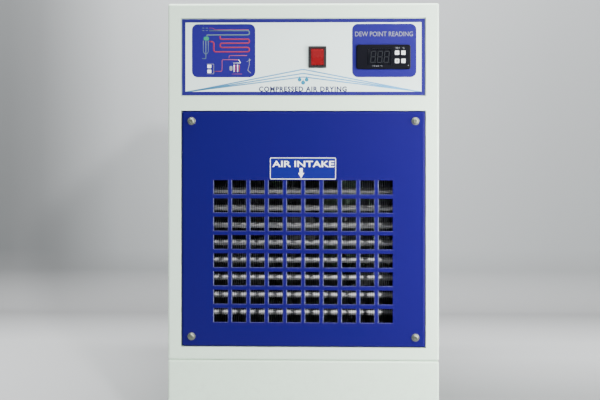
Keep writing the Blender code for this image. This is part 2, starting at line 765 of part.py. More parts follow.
def make_switch():
    """The rocker switch: its housing, and the rocker on its own pins."""
    front = FACE_BACK - BEZEL_THICKNESS
    z = CONTROL_MIDDLE
    bezel = centred_box(SWITCH_X, z, BEZEL_WIDTH, BEZEL_HEIGHT, front, FACE_BACK)
    housing = block("switch_housing", *bezel, "black_plastic", edge=BEZEL_THICKNESS / 4)
    body = centred_box(
        SWITCH_X, z, SWITCH_BODY_WIDTH, SWITCH_BODY_HEIGHT,
        FACE_BACK - BEZEL_THICKNESS / 2, FACE_BACK + SWITCH_BODY_DEPTH,
    )
    join(housing, block("switch_body", *body, None))
    cavity = centred_box(
        SWITCH_X, z, ROCKER_WIDTH + 2 * ROCKER_SIDE_GAP, 2 * (ROCKER_RADIUS + ROCKER_SIDE_GAP),
        front - FOLD, front + CAVITY_DEPTH,
    )
    cut(housing, boxes("switch_cavity", [cavity]))
    pin_half = ROCKER_WIDTH / 2 + ROCKER_PIN_REACH
    pin = [((SWITCH_X - pin_half - GAP, ROCKER_PIVOT_Y, z), (SWITCH_X + pin_half + GAP, ROCKER_PIVOT_Y, z))]
    cut(housing, rods("pin_bore", pin, ROCKER_PIN_RADIUS + GAP, sides=12))

    # The rocker's outline is drawn with +X towards the front and +Y up, about its pivot.
    ends = []
    for side in (1, -1):
        angles = [ROCKER_FRONT_ANGLE, 0.0, -ROCKER_BACK_ANGLE][::side]
        ends += [(ROCKER_RADIUS * math.sin(a), side * ROCKER_RADIUS * math.cos(a)) for a in angles]
    waist = (ROCKER_RADIUS * math.sin(ROCKER_FRONT_ANGLE) - ROCKER_DIP, 0.0)
    rocker = flat_piece("switch_rocker", ends + [waist], ROCKER_WIDTH, "rocker_red")
    stand = Matrix(((0, 0, 1, 0), (-1, 0, 0, 0), (0, 1, 0, 0), (0, 0, 0, 1)))
    rocker.data.transform(stand)
    if stand.determinant() < 0:
        rocker.data.flip_normals()
    rocker.location = (SWITCH_X, ROCKER_PIVOT_Y, z)
    rocker.rotation_euler.x = ROCKER_TILT
    pins = rods("rocker_pins", [((-pin_half, 0, 0), (pin_half, 0, 0))], ROCKER_PIN_RADIUS, sides=12)
    pins.location = rocker.location
    join(rocker, pins)


def key_places():
    """(name, x, z) of the controller's four keys."""
    return [
        (f"controller_key_{row}_{column}", CONTROLLER_X + KEY_X + dx * KEY_PITCH_X / 2,
         CONTROL_MIDDLE + dz * KEY_PITCH_Z / 2)
        for row, dz in (("upper", 1), ("lower", -1))
        for column, dx in (("left", -1), ("right", 1))
    ]


def make_controller():
    """The panel-mounted temperature controller, with its display window and four keys."""
    front = FACE_BACK - CONTROLLER_FACE
    z = CONTROL_MIDDLE
    face = centred_box(CONTROLLER_X, z, CONTROLLER_WIDTH, CONTROLLER_HEIGHT, front, FACE_BACK)
    case = block(
        "controller_case", *face, "controller_black",
        edge=CONTROLLER_EDGE, segments=2, corner=CONTROLLER_CORNER,
    )
    body = centred_box(
        CONTROLLER_X, z, CONTROLLER_BODY_WIDTH, CONTROLLER_BODY_HEIGHT,
        FACE_BACK - CONTROLLER_FACE / 3, FACE_BACK + CONTROLLER_BODY_DEPTH,
    )
    join(case, block("controller_body", *body, None))
    window = centred_box(
        CONTROLLER_X + DISPLAY_X, z, DISPLAY_WIDTH, DISPLAY_HEIGHT, front, front + DISPLAY_THICKNESS
    )
    block("display_window", *window, "display_lens", edge=DISPLAY_THICKNESS / 4)
    seat = centred_box(
        CONTROLLER_X + DISPLAY_X, z, DISPLAY_WIDTH + 2 * GAP, DISPLAY_HEIGHT + 2 * GAP,
        front - FOLD, front + DISPLAY_THICKNESS + GAP,
    )
    wells = [seat]
    for name, x, key_z in key_places():
        rear = front - KEY_PROUD + KEY_DEPTH
        key = centred_box(x, key_z, KEY_SIDE, KEY_SIDE, front - KEY_PROUD, rear)
        block(name, *key, "key_white", edge=KEY_PROUD / 3)
        side = KEY_SIDE + 2 * GAP
        wells.append(centred_box(x, key_z, side, side, front - FOLD, rear + KEY_TRAVEL + GAP))
    cut(case, boxes("controller_wells", wells))


# Condenser and fan

def tube_heights():
    return [COIL_LOW + (i + 0.5) * TUBE_PITCH for i in range(TUBE_COUNT)]


def make_condenser():
    """The finned block, the serpentine tube through it and the two plates it stands on."""
    left = COIL_LEFT - GAP - SHEET
    right = COIL_RIGHT + GAP + SHEET
    rear = COIL_FRONT + COIL_DEPTH
    ends = [((left - FOLD, TUBE_Y, z), (right + FOLD, TUBE_Y, z)) for z in tube_heights()]
    bore = (TUBE_RADIUS + GAP) / math.cos(math.pi / HOLE_SIDES)
    bores = rods("tube_bores", ends, bore, sides=HOLE_SIDES)
    fins = block(
        "condenser_fin_pack",
        (COIL_LEFT, COIL_FRONT, COIL_LOW),
        (COIL_RIGHT, rear, COIL_HIGH),
        "fin_aluminium",
    )
    cut(fins, bores)
    for name, x in (("left", left), ("right", COIL_RIGHT + GAP)):
        plate = block(
            f"condenser_{name}_plate",
            (x, COIL_FRONT, FLOOR_Z),
            (x + SHEET, rear, COIL_HIGH),
            "galvanised",
        )
        cut(plate, bores)

    # The tube enters at the top right, runs to and fro and leaves at the bottom right.
    radius = TUBE_PITCH / 2
    bend_left = left - GAP
    bend_right = right + GAP
    path = [Vector((TUBE_END_X, TUBE_Y, tube_heights()[-1]))]
    for i in range(TUBE_COUNT - 1):
        side = -1 if i % 2 == 0 else 1
        x = bend_left if side < 0 else bend_right
        middle = COIL_HIGH - (i + 1) * TUBE_PITCH
        for step in range(2 * BEND_STEPS + 1):
            angle = math.pi / 2 - step * math.pi / (2 * BEND_STEPS)
            offset = Vector((side * radius * math.cos(angle), 0, radius * math.sin(angle)))
            path.append(Vector((x, TUBE_Y, middle)) + offset)
    path.append(Vector((TUBE_END_X, TUBE_Y, tube_heights()[0])))
    tube("condenser_tube", path, TUBE_RADIUS, "copper", detail=1)


def make_shroud():
    """The fan shroud behind the fins, with a collar round its opening."""
    shroud = sheet_box(
        "fan_shroud",
        (COIL_LEFT, SHROUD_FRONT, COIL_LOW),
        (COIL_RIGHT, SHROUD_REAR, COIL_HIGH),
        ["-Y"],
        "galvanised",
    )
    inside = (COIL_X, SHROUD_REAR - SHEET / 2, COIL_Z)
    outside = (COIL_X, SHROUD_REAR + COLLAR_DEPTH, COIL_Z)
    join(shroud, rods("collar", [(inside, outside)], OPENING_RADIUS + SHEET, sides=40))
    through = ((COIL_X, SHROUD_FRONT, COIL_Z), (COIL_X, SHROUD_REAR + FOLD, COIL_Z))
    cut(shroud, rods("collar_bore", [through], OPENING_RADIUS, sides=40))


def make_fan():
    """Hub, shaft and twisted blades as one turning piece, about its own Y axis."""
    middle = SHROUD_REAR + COLLAR_DEPTH / 2 - HUB_DEPTH / 4
    rear = MOTOR_FRONT + SHAFT_REACH - middle
    fan = rods("fan_blade", [((0, -HUB_DEPTH / 2, 0), (0, HUB_DEPTH / 2, 0))], HUB_RADIUS, 24, "fan_aluminium")
    fan.location = (COIL_X, middle, COIL_Z)
    shaft = rods("fan_shaft", [((0, 0, 0), (0, rear, 0))], SHAFT_RADIUS, 16)
    shaft.location = fan.location
    join(fan, shaft)
    inner = HUB_RADIUS * 0.8
    outer = OPENING_RADIUS - TIP_CLEARANCE
    for index in range(BLADE_COUNT):
        bm = bmesh.new()
        bmesh.ops.create_grid(bm, x_segments=3, y_segments=4, size=0.5)
        for vertex in bm.verts:
            reach = inner + (vertex.co.x + 0.5) * (outer - inner)
            turn = vertex.co.y * BLADE_SPAN_ANGLE + index * math.tau / BLADE_COUNT
            vertex.co = (reach * math.cos(turn), vertex.co.y * BLADE_RISE, reach * math.sin(turn))
        blade = place(f"blade_{index}", mesh_of(f"blade_{index}", bm), None, fan.location)
        skin = blade.modifiers.new("Sheet", "SOLIDIFY")
        skin.thickness = BLADE_THICKNESS
        skin.offset = 0.0
        join(fan, blade)


def make_motor():
    """The fan's motor, with a bore for the shaft, and the strap that holds it to the shroud."""
    rear = MOTOR_FRONT + MOTOR_DEPTH
    body = [((COIL_X, MOTOR_FRONT, COIL_Z), (COIL_X, rear, COIL_Z))]
    motor = rods("fan_motor", body, MOTOR_RADIUS, 28, "motor_black")
    bevel = motor.modifiers.new("Edges", "BEVEL")
    bevel.width = MOTOR_RADIUS / 10
    bevel.limit_method = "ANGLE"
    bevel.angle_limit = math.radians(50)
    bore = ((COIL_X, MOTOR_FRONT - FOLD, COIL_Z), (COIL_X, MOTOR_FRONT + SHAFT_REACH + GAP * 4, COIL_Z))
    cut(motor, rods("shaft_bore", [bore], SHAFT_RADIUS + SHAFT_CLEARANCE, 16))

    # The strap's path runs up the shroud, back past the motor, behind it and down again.
    near = SHROUD_REAR + GAP + SHEET / 2
    far = rear + GAP + SHEET / 2
    arm = OPENING_RADIUS + 2 * SHEET + GAP
    turns = [
        (near, arm + STRAP_TAB),
        (near, arm),
        (far, arm),
        (far, -arm),
        (near, -arm),
        (near, -arm - STRAP_TAB),
    ]
    bm = bmesh.new()
    points = [bm.verts.new((-STRAP_WIDTH / 2, y, z)) for y, z in turns]
    edges = [bm.edges.new(pair) for pair in zip(points, points[1:])]
    swept = bmesh.ops.extrude_edge_only(bm, edges=edges)
    moved = [item for item in swept["geom"] if isinstance(item, bmesh.types.BMVert)]
    bmesh.ops.translate(bm, verts=moved, vec=(STRAP_WIDTH, 0, 0))
    strap = place("motor_strap", mesh_of("motor_strap", bm), "galvanised", (COIL_X, 0, COIL_Z))
    skin = strap.modifiers.new("Sheet", "SOLIDIFY")
    skin.thickness = SHEET
    skin.offset = 0.0
    skin.use_even_offset = True


# Electrics

def make_electrics():
    """A shelf over the condenser that carries the terminal block and the run capacitor."""
    half = PAN_HALF - SHELF_SIDE_GAP
    sheet_box(
        "electrics_shelf",
        (-half, SHELF_FRONT, SHELF_Z - SHEET),
        (half, SHELF_FRONT + SHELF_DEPTH, SHELF_Z + SHELF_LIP),
        ["+Z", "-X", "+X"],
        "galvanised",
    )
    stand = SHELF_Z + GAP
    low = Vector((-ELECTRICS_X, ELECTRICS_Y, stand)) - Vector((TERMINAL_SIZE.x, TERMINAL_SIZE.y, 0)) / 2
    terminals = block("terminal_block", low, low + TERMINAL_SIZE, "terminal_grey")
    step = Vector((TERMINAL_SIZE.x + FOLD, TERMINAL_STEP, TERMINAL_STEP))
    front_top = low + Vector((-FOLD / 2, 0, TERMINAL_SIZE.z - TERMINAL_STEP))
    rear_top = front_top + Vector((0, TERMINAL_SIZE.y - TERMINAL_STEP, 0))
    shift = Vector((0, GAP, GAP))
    cut(terminals, boxes("terminal_steps", [
        (front_top - shift, front_top + step),
        (rear_top, rear_top + step + shift),
    ]))
    edge = CAPACITOR_RADIUS / 6
    profile = [
        (0, CAPACITOR_HEIGHT),
        (CAPACITOR_RADIUS - edge, CAPACITOR_HEIGHT),
        (CAPACITOR_RADIUS, CAPACITOR_HEIGHT - edge),
        (CAPACITOR_RADIUS, 0),
        (0, 0),
    ]
    turned("run_capacitor", profile, "capacitor_white", (ELECTRICS_X, ELECTRICS_Y, stand), steps=20)


# Compressor

def make_compressor():
    """The hermetic shell on its foot plate, on four rubber grommets, with its terminal cover."""
    dome = arc((SHELL_RADIUS - SHELL_DOME, SHELL_HEIGHT - SHELL_DOME), SHELL_DOME, 90, 0, 4)
    base = arc((SHELL_RADIUS - SHELL_DOME, SHELL_DOME), SHELL_DOME, 0, -90, 4)
    profile = [(0, SHELL_HEIGHT)] + dome + base + [(0, 0)]
    shell = turned(
        "compressor_shell", profile, "compressor_black", (COMPRESSOR_X, COMPRESSOR_Y, SHELL_Z), 28
    )
    half = Vector((PLATE_SIDE / 2, PLATE_SIDE / 2, 0))
    middle = Vector((COMPRESSOR_X, COMPRESSOR_Y, SHELL_Z))
    plate = block(
        "foot_plate", middle - half, middle + half + Vector((0, 0, PLATE_THICKNESS)), None
    )
    join(shell, plate)
    for side in (-1, 1):
        x = COMPRESSOR_X + side * STUB_OFFSET
        start = (x, COMPRESSOR_Y, SHELL_Z + SHELL_HEIGHT / 2)
        join(shell, rods(f"stub_{side}", [(start, (x, COMPRESSOR_Y, STUB_TOP))], STUB_RADIUS, 12))

    reach = PLATE_SIDE / 2 - GROMMET_INSET
    names = ("front_left", "front_right", "rear_left", "rear_right")
    spots = [(dx, dy) for dy in (-reach, reach) for dx in (-reach, reach)]
    waist = GROMMET_RADIUS * 0.8
    profile = [
        (0, GROMMET_HEIGHT),
        (GROMMET_RADIUS, GROMMET_HEIGHT),
        (waist, GROMMET_HEIGHT / 2),
        (GROMMET_RADIUS, 0),
        (0, 0),
    ]
    for name, (dx, dy) in zip(names, spots):
        spot = (COMPRESSOR_X + dx, COMPRESSOR_Y + dy, FLOOR_Z)
        turned("grommet_" + name, profile, "rubber", spot, steps=12)

    rear = COMPRESSOR_Y - SHELL_RADIUS - GAP
    low = Vector((COMPRESSOR_X - COVER_SIZE.x / 2, rear - COVER_SIZE.y, SHELL_Z + SHELL_DOME))
    block("terminal_cover", low, low + COVER_SIZE, "black_plastic", edge=COVER_SIZE.y / 6)


# Heat exchanger, separator and drain

def make_exchanger():
    """The plate exchanger in its open-topped foam jacket, and its two air pipes to the ports."""
    half = Vector((CORE_WIDTH / 2, CORE_DEPTH / 2, 0))
    middle = Vector((EXCHANGER_X, EXCHANGER_Y, 0))
    up = Vector((0, 0, 1))
    block(
        "exchanger_core",
        middle - half + up * CORE_Z,
        middle + half + up * CORE_TOP,
        "stainless",
        edge=FOLD_RADIUS,
    )
    room = half + Vector((GAP, GAP, 0))
    outside = room + Vector((FOAM, FOAM, 0))
    foam = block(
        "exchanger_jacket",
        middle - outside + up * FLOOR_Z,
        middle + outside + up * CORE_TOP,
        "foam_black",
        edge=FOLD_RADIUS,
        segments=2,
    )
    hollow = (middle - room + up * (FLOOR_Z + FOAM), middle + room + up * (CORE_TOP + FOAM))
    cut(foam, boxes("jacket_hollow", [hollow]))
    for name, side in (("air_inlet", -1), ("air_outlet", 1)):
        x = EXCHANGER_X + side * PORT_SPACING / 2
        corners = [
            (x, CABINET_DEPTH - SHEET - PORT_INSIDE - GAP, PORT_Z),
            (x, EXCHANGER_Y, PORT_Z),
            (x, EXCHANGER_Y, CORE_TOP + GAP),
        ]
        tube(name + "_pipe", rounded_path(corners, AIR_PIPE_BEND), AIR_PIPE_RADIUS, "copper")
        make_port(name + "_port", x)


def make_port(name, x):
    """A threaded bulkhead fitting through the rear panel, with a hexagon outside it."""
    z = PORT_Z
    outside = CABINET_DEPTH + GAP
    thread = [((x, CABINET_DEPTH - SHEET - PORT_INSIDE, z), (x, outside + GAP, z))]
    port = rods(name, thread, PORT_THREAD_RADIUS, 24, "brass")
    radius = PORT_FLATS / 2 / math.cos(math.pi / 6)
    hexagon = [((x, outside, z), (x, CABINET_DEPTH + PORT_REACH, z))]
    join(port, rods(name + "_hexagon", hexagon, radius, 6))
    start = CABINET_DEPTH + PORT_REACH - PORT_BORE_DEPTH
    bore = [((x, start, z), (x, CABINET_DEPTH + PORT_REACH + FOLD, z))]
    cut(port, rods(name + "_bore", bore, PORT_BORE_RADIUS, 24))


def make_separator():
    """The moisture separator, close against the rear panel, and its drain pipe."""
    cap = SEPARATOR_RADIUS * 0.6
    top = arc((SEPARATOR_RADIUS - cap, SEPARATOR_HEIGHT - cap), cap, 90, 0, 3)
    base = arc((SEPARATOR_RADIUS - cap, cap), cap, 0, -90, 3)
    turned(
        "moisture_separator",
        [(0, SEPARATOR_HEIGHT)] + top + base + [(0, 0)],
        "stainless",
        (SEPARATOR_X, SEPARATOR_Y, SEPARATOR_Z),
        steps=24,
    )
    half = DRAIN_BLOCK / 2
    path = [
        Vector((SEPARATOR_X, SEPARATOR_Y, SEPARATOR_Z - GAP)),
        Vector((SEPARATOR_X, SEPARATOR_Y, DRAIN_Z + half + GAP)),
    ]
    tube("drain_pipe", path, DRAIN_PIPE_RADIUS, "copper")


def make_drain():
    """The timed drain solenoid, and the hand valve outside with its lever."""
    x, z = SEPARATOR_X, DRAIN_Z
    half = DRAIN_BLOCK / 2
    low = (x - half, SEPARATOR_Y - half, z - half)
    high = (x + half, SEPARATOR_Y + half, z + half)
    solenoid = block("drain_solenoid", low, high, "brass", edge=DRAIN_BLOCK / 20)
    stem = ((x, SEPARATOR_Y, z), (x, SEPARATOR_Y - half - DRAIN_COIL_LENGTH, z))
    join(solenoid, rods("solenoid_coil", [stem], DRAIN_COIL_RADIUS, 20))

    tip = CABINET_DEPTH + VALVE_REACH
    body = [((x, SEPARATOR_Y + half + GAP, z), (x, tip, z))]
    valve = rods("drain_valve", body, VALVE_RADIUS, 20, "brass")
    stem_y = CABINET_DEPTH + VALVE_STEM_Y
    stem = [((x, stem_y, z), (x, stem_y, z + VALVE_STEM_HEIGHT - GAP))]
    join(valve, rods("valve_stem", stem, VALVE_STEM_RADIUS, 16))
    bore = [((x, tip - VALVE_BORE_DEPTH, z), (x, tip + FOLD, z))]
    cut(valve, rods("valve_bore", bore, VALVE_BORE_RADIUS, 16))

    # The lever lies crosswise when the valve is shut, and turns about the stem.
    half = LEVER_WIDTH / 2
    angles = [math.radians(-90 + 180 * i / 6) for i in range(7)]
    outline = [(half * math.cos(a), half * math.sin(a)) for a in angles]
    outline += [(half * math.cos(a + math.pi) - LEVER_LENGTH, half * math.sin(a + math.pi)) for a in angles]
    lever = flat_piece("drain_lever", outline, LEVER_THICKNESS, "lever_red")
    lever.location = (x, stem_y, z + VALVE_STEM_HEIGHT + LEVER_THICKNESS / 2)


def make_cable_gland():
    """The inlet for the supply cable, a nut outside and a threaded barrel inside the panel."""
    x, z = GLAND_X, GLAND_Z
    inner = CABINET_DEPTH - SHEET - GLAND_REACH / 2
    gland = rods(
        "cable_gland", [((x, inner, z), (x, CABINET_DEPTH + GAP * 2, z))], GLAND_RADIUS, 20, "black_plastic"
    )
    nut = [((x, CABINET_DEPTH + GAP, z), (x, CABINET_DEPTH + GLAND_REACH, z))]
    join(gland, rods("gland_nut", nut, GLAND_RADIUS * 1.3, 6))
    bore = [((x, inner - FOLD, z), (x, CABINET_DEPTH + GLAND_REACH + FOLD, z))]
    cut(gland, rods("gland_bore", bore, GLAND_BORE_RADIUS, 16))


# Refrigerant pipes

def make_refrigerant_pipes():
    """Discharge, liquid and suction lines, the filter drier and the capillary coil."""
    tops = tube_heights()
    stub_x = COMPRESSOR_X + STUB_OFFSET
    run_x = TUBE_END_X + GAP + PIPE_BEND + PIPE_RADIUS
    turn_z = STUB_TOP + 2 * PIPE_BEND
    discharge = [
        (stub_x, COMPRESSOR_Y, STUB_TOP + GAP),
        (stub_x, COMPRESSOR_Y, turn_z),
        (run_x, COMPRESSOR_Y, turn_z),
        (run_x, COMPRESSOR_Y, tops[-1]),
        (run_x, TUBE_Y, tops[-1]),
        (TUBE_END_X + GAP, TUBE_Y, tops[-1]),
    ]
    tube("discharge_line", rounded_path(discharge, PIPE_BEND), PIPE_RADIUS, "copper", detail=1)

    drier_left = COIL_X
    drier_right = drier_left + DRIER_LENGTH
    liquid = [
        (TUBE_END_X + GAP, TUBE_Y, tops[0]),
        (run_x, TUBE_Y, tops[0]),
        (run_x, TUBE_Y, DRIER_Z),
        (run_x, DRIER_Y, DRIER_Z),
        (drier_right + GAP, DRIER_Y, DRIER_Z),
    ]
    tube("liquid_line", rounded_path(liquid, PIPE_BEND), PIPE_RADIUS, "copper", detail=1)

    neck = DRIER_RADIUS * 0.45
    shoulder = DRIER_RADIUS * 0.8
    profile = [
        (0, DRIER_LENGTH),
        (neck, DRIER_LENGTH),
        (DRIER_RADIUS, DRIER_LENGTH - shoulder),
        (DRIER_RADIUS, shoulder),
        (neck, 0),
        (0, 0),
    ]
    drier = turned("filter_drier", profile, "copper", (drier_left, DRIER_Y, DRIER_Z), steps=20)
    drier.rotation_euler.y = math.radians(90)

    # The capillary leaves the drier to the left, coils upwards and runs back to the exchanger.
    centre = Vector((EXCHANGER_X + CAPILLARY_COIL_RADIUS, DRIER_Y + CAPILLARY_COIL_RADIUS, DRIER_Z))
    quarter = CAPILLARY_STEPS // 4
    path = [Vector((drier_left - GAP, DRIER_Y, DRIER_Z))]
    for i in range(CAPILLARY_TURNS * CAPILLARY_STEPS + quarter + 1):
        angle = -math.pi / 2 - i * math.tau / CAPILLARY_STEPS
        ring = Vector((math.cos(angle), math.sin(angle), 0)) * CAPILLARY_COIL_RADIUS
        path.append(centre + ring + Vector((0, 0, i * CAPILLARY_RISE / CAPILLARY_STEPS)))
    front = EXCHANGER_Y - CORE_DEPTH / 2 - FOAM - 2 * GAP
    path.append(Vector((path[-1].x, front, path[-1].z)))
    tube("capillary_tube", path, CAPILLARY_RADIUS, "copper", detail=1)

    suction_x = COMPRESSOR_X - STUB_OFFSET
    suction_z = STUB_TOP + 3 * PIPE_BEND
    suction = [
        (EXCHANGER_X + CORE_WIDTH / 2 + FOAM + 2 * GAP, COMPRESSOR_Y, suction_z),
        (suction_x, COMPRESSOR_Y, suction_z),
        (suction_x, COMPRESSOR_Y, STUB_TOP + GAP),
    ]
    tube("suction_line", rounded_path(suction, PIPE_BEND), PIPE_RADIUS, "copper", detail=1)


make_screw_bores()
make_front_panel()
make_lower_front_panel()
make_side_panels()
make_top_cover()
make_rear_panel()
make_base_pan()
make_feet()
make_grille()
make_grille_screws()
make_control_plate()
make_switch()
make_controller()
make_condenser()
make_shroud()
make_fan()
make_motor()
make_electrics()
make_compressor()
make_exchanger()
make_separator()
make_drain()
make_cable_gland()
make_refrigerant_pipes()
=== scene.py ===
import math

import bpy
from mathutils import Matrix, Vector


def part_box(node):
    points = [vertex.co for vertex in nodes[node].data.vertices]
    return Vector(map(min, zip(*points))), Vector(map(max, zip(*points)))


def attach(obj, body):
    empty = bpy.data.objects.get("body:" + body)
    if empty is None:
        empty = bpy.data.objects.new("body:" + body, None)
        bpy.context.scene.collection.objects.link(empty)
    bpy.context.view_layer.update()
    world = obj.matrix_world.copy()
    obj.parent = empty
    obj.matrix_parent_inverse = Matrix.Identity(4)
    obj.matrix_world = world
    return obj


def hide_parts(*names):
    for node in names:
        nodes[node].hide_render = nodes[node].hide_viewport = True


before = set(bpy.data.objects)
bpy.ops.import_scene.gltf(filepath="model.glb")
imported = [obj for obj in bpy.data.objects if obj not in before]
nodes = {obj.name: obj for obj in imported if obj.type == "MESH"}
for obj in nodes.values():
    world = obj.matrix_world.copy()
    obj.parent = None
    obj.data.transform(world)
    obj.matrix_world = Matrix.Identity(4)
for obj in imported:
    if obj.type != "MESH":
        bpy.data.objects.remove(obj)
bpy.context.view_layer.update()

# Refrigerated air dryer: a folded sheet cabinet with a vented blue grille, a printed control
# plate, and its cooling circuit inside. Everything is in metres, and the front looks along -Y.

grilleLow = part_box("grille_panel")[0]
plateLow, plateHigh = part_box("control_plate")
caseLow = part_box("controller_case")[0]
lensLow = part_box("display_window")[0]
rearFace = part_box("rear_panel")[1].y
print("frame loaded:", len(nodes), "nodes")


# Shader helpers

class Wire:                     # a shader value that can stand in a sum
    def __init__(self, look, socket):
        self.look = look
        self.socket = socket

    def maths(self, operation, first, second=0.0):
        return self.look.node("ShaderNodeMath", {"operation": operation}, {0: first, 1: second})

    def __add__(self, other):
        return self.maths("ADD", self, other)

    def __radd__(self, other):
        return self.maths("ADD", other, self)

    def __sub__(self, other):
        return self.maths("SUBTRACT", self, other)

    def __rsub__(self, other):
        return self.maths("SUBTRACT", other, self)

    def __mul__(self, other):
        return self.maths("MULTIPLY", self, other)

    def __rmul__(self, other):
        return self.maths("MULTIPLY", other, self)

    def __truediv__(self, other):
        return self.maths("DIVIDE", self, other)

    def __gt__(self, other):
        return self.maths("GREATER_THAN", self, other)

    def __lt__(self, other):
        return self.maths("LESS_THAN", self, other)

    def __abs__(self):
        return self.maths("ABSOLUTE", self)

    def fraction(self):
        return self.maths("FRACT", self)


class Look:                     # one material, its Principled shader and what feeds it
    def __init__(self, name, metallic=0.0, **fixed):
        self.material = bpy.data.materials.new(name)
        self.material.use_nodes = True
        self.tree = self.material.node_tree
        self.shader = self.tree.nodes["Principled BSDF"]
        self.shader.inputs["Metallic"].default_value = metallic
        for socketName, value in fixed.items():
            self.shader.inputs[socketName.replace("_", " ")].default_value = value
        self.spot = self.node("ShaderNodeTexCoord", out="Object")

    def node(self, kind, settings=None, values=None, out=0):
        made = self.tree.nodes.new(kind)
        for key, value in (settings or {}).items():
            if key == "stops":
                ramp = made.color_ramp
                while len(ramp.elements) < len(value):
                    ramp.elements.new(0.5)
                for element, (place, tone) in zip(ramp.elements, value):
                    element.position = place
                    element.color = (tone, tone, tone, 1.0) if isinstance(tone, float) else (*tone, 1.0)
            else:
                setattr(made, key, value)
        for key, value in (values or {}).items():
            if isinstance(value, Wire):
                self.tree.links.new(value.socket, made.inputs[key])
            else:
                made.inputs[key].default_value = value
        return Wire(self, made.outputs[out])

    def stretched(self, scale=(1, 1, 1), turn=(0, 0, 0)):
        values = {"Vector": self.spot, "Scale": scale, "Rotation": turn}
        return self.node("ShaderNodeMapping", values=values)

    def noise(self, scale, detail=3.0, rough=0.5, vector=None):
        values = {"Vector": vector or self.spot, "Scale": scale, "Detail": detail, "Roughness": rough}
        return self.node("ShaderNodeTexNoise", values=values)

    def cells(self, scale, out="Distance", vector=None, feature="F1"):
        values = {"Vector": vector or self.spot, "Scale": scale}
        return self.node("ShaderNodeTexVoronoi", {"feature": feature}, values, out)

    def ramp(self, factor, *stops):
        return self.node("ShaderNodeValToRGB", {"stops": stops}, {"Fac": factor})

    def blend(self, factor, first, second):
        tones = [tone if isinstance(tone, Wire) else (*tone, 1.0) for tone in (first, second)]
        values = {0: factor, 6: tones[0], 7: tones[1]}
        return self.node("ShaderNodeMix", {"data_type": "RGBA"}, values, 2)

    def axis(self, letter):
        return self.node("ShaderNodeSeparateXYZ", values={0: self.spot}, out=letter)

    def bump(self, height, distance, strength=1.0):
        values = {"Height": height, "Distance": distance, "Strength": strength}
        return self.node("ShaderNodeBump", values=values)

    def feed(self, **wires):
        for socketName, wire in wires.items():
            self.tree.links.new(wire.socket, self.shader.inputs[socketName.replace("_", " ")])
        return self.material


def shade(tone, share):
    return tuple(channel * share for channel in tone)


# Finishes

cabinetPaint = {"tone": (0.615, 0.770, 0.625), "grain": 850.0, "depth": 0.00004, "sheen": 0.42,
                "coat": 0.08, "gloss": 0.35}
grillePaint = {"tone": (0.0078, 0.0030, 0.085), "edgeHighlightTone": (0.15, 0.17, 0.30), "grain": 900.0,
               "depth": 0.00003, "sheen": 0.38, "coat": 0.0, "gloss": 0.05,
               "hole": 0.020, "pitch": 0.026, "edge": 0.0009,
               "firstLeft": -0.127, "firstTop": 0.389, "columns": 10, "rows": 8}


def powderCoat(name, recipe):
    look = Look(name, Coat_Weight=recipe["coat"], Coat_Roughness=0.25, Specular_IOR_Level=recipe["gloss"])
    peel = look.noise(recipe["grain"], 2.0, 0.55)
    fine = look.noise(recipe["grain"] * 3.1, 2.0, 0.6)
    cloud = look.noise(4.5, 3.0, 0.5)
    dirt = look.ramp(look.noise(38.0, 6.0, 0.62), (0.56, 0.0), (0.80, 1.0))
    speck = look.cells(260.0) < 0.055
    tone = look.blend(cloud, shade(recipe["tone"], 0.965), shade(recipe["tone"], 1.03))
    tone = look.blend(dirt * 0.09, tone, shade(recipe["tone"], 0.62))
    tone = look.blend(speck * 0.22, tone, shade(recipe["tone"], 0.5))
    rough = cloud * 0.06 + fine * 0.05 + dirt * 0.08 + (recipe["sheen"] - 0.06)
    return look, tone, rough, look.bump(peel * 0.8 + fine * 0.2, recipe["depth"], 0.9)


def cabinetFinish():
    look, tone, rough, normal = powderCoat("cabinet_powder_coat", cabinetPaint)
    height = look.axis("Z")
    scuff = look.ramp(look.noise(95.0, 7.0, 0.7), (0.50, 0.0), (0.66, 1.0))
    low = look.ramp(height, (0.02, 1.0), (0.16, 0.0))
    tone = look.blend(low * scuff * 0.20, tone, (0.30, 0.30, 0.27))
    return look.feed(Base_Color=tone, Roughness=rough, Normal=normal)


def grilleFinish():
    look, tone, rough, normal = powderCoat("grille_powder_coat", grillePaint)
    pitch, hole, edge = grillePaint["pitch"], grillePaint["hole"], grillePaint["edge"]
    across = look.axis("X") - grillePaint["firstLeft"]
    down = grillePaint["firstTop"] - look.axis("Z")
    cellX = (across / pitch).fraction() * pitch
    cellZ = (down / pitch).fraction() * pitch
    inRows = (down > 0.0) * (down < pitch * grillePaint["rows"] - 0.002)
    inColumns = (across > -0.002) * (across < pitch * (grillePaint["columns"] - 1) + hole)
    leftRimHighlight = (cellX > pitch - edge) * (cellZ < hole)      # painted highlight on the punched edge, brightest on each hole's left side
    rightRimHighlight = (abs(cellX - hole - edge / 2) < edge / 2) * (cellZ < hole)
    lowRimHighlight = (abs(cellZ - hole - edge / 2) < edge / 2) * (cellX < hole)
    broken = look.ramp(look.noise(240.0, 3.0), (0.35, 0.35), (0.62, 1.0))
    # rim is the painted highlight mask along the hole edges, broken up by noise; it tints the blue towards
    # a pale highlight tone
    rim = (leftRimHighlight * 0.85 + rightRimHighlight * 0.28 + lowRimHighlight * 0.30) * inRows * inColumns * broken
    tone = look.blend(rim, tone, grillePaint["edgeHighlightTone"])
    return look.feed(Base_Color=tone, Roughness=rough - rim * 0.08, Normal=normal)


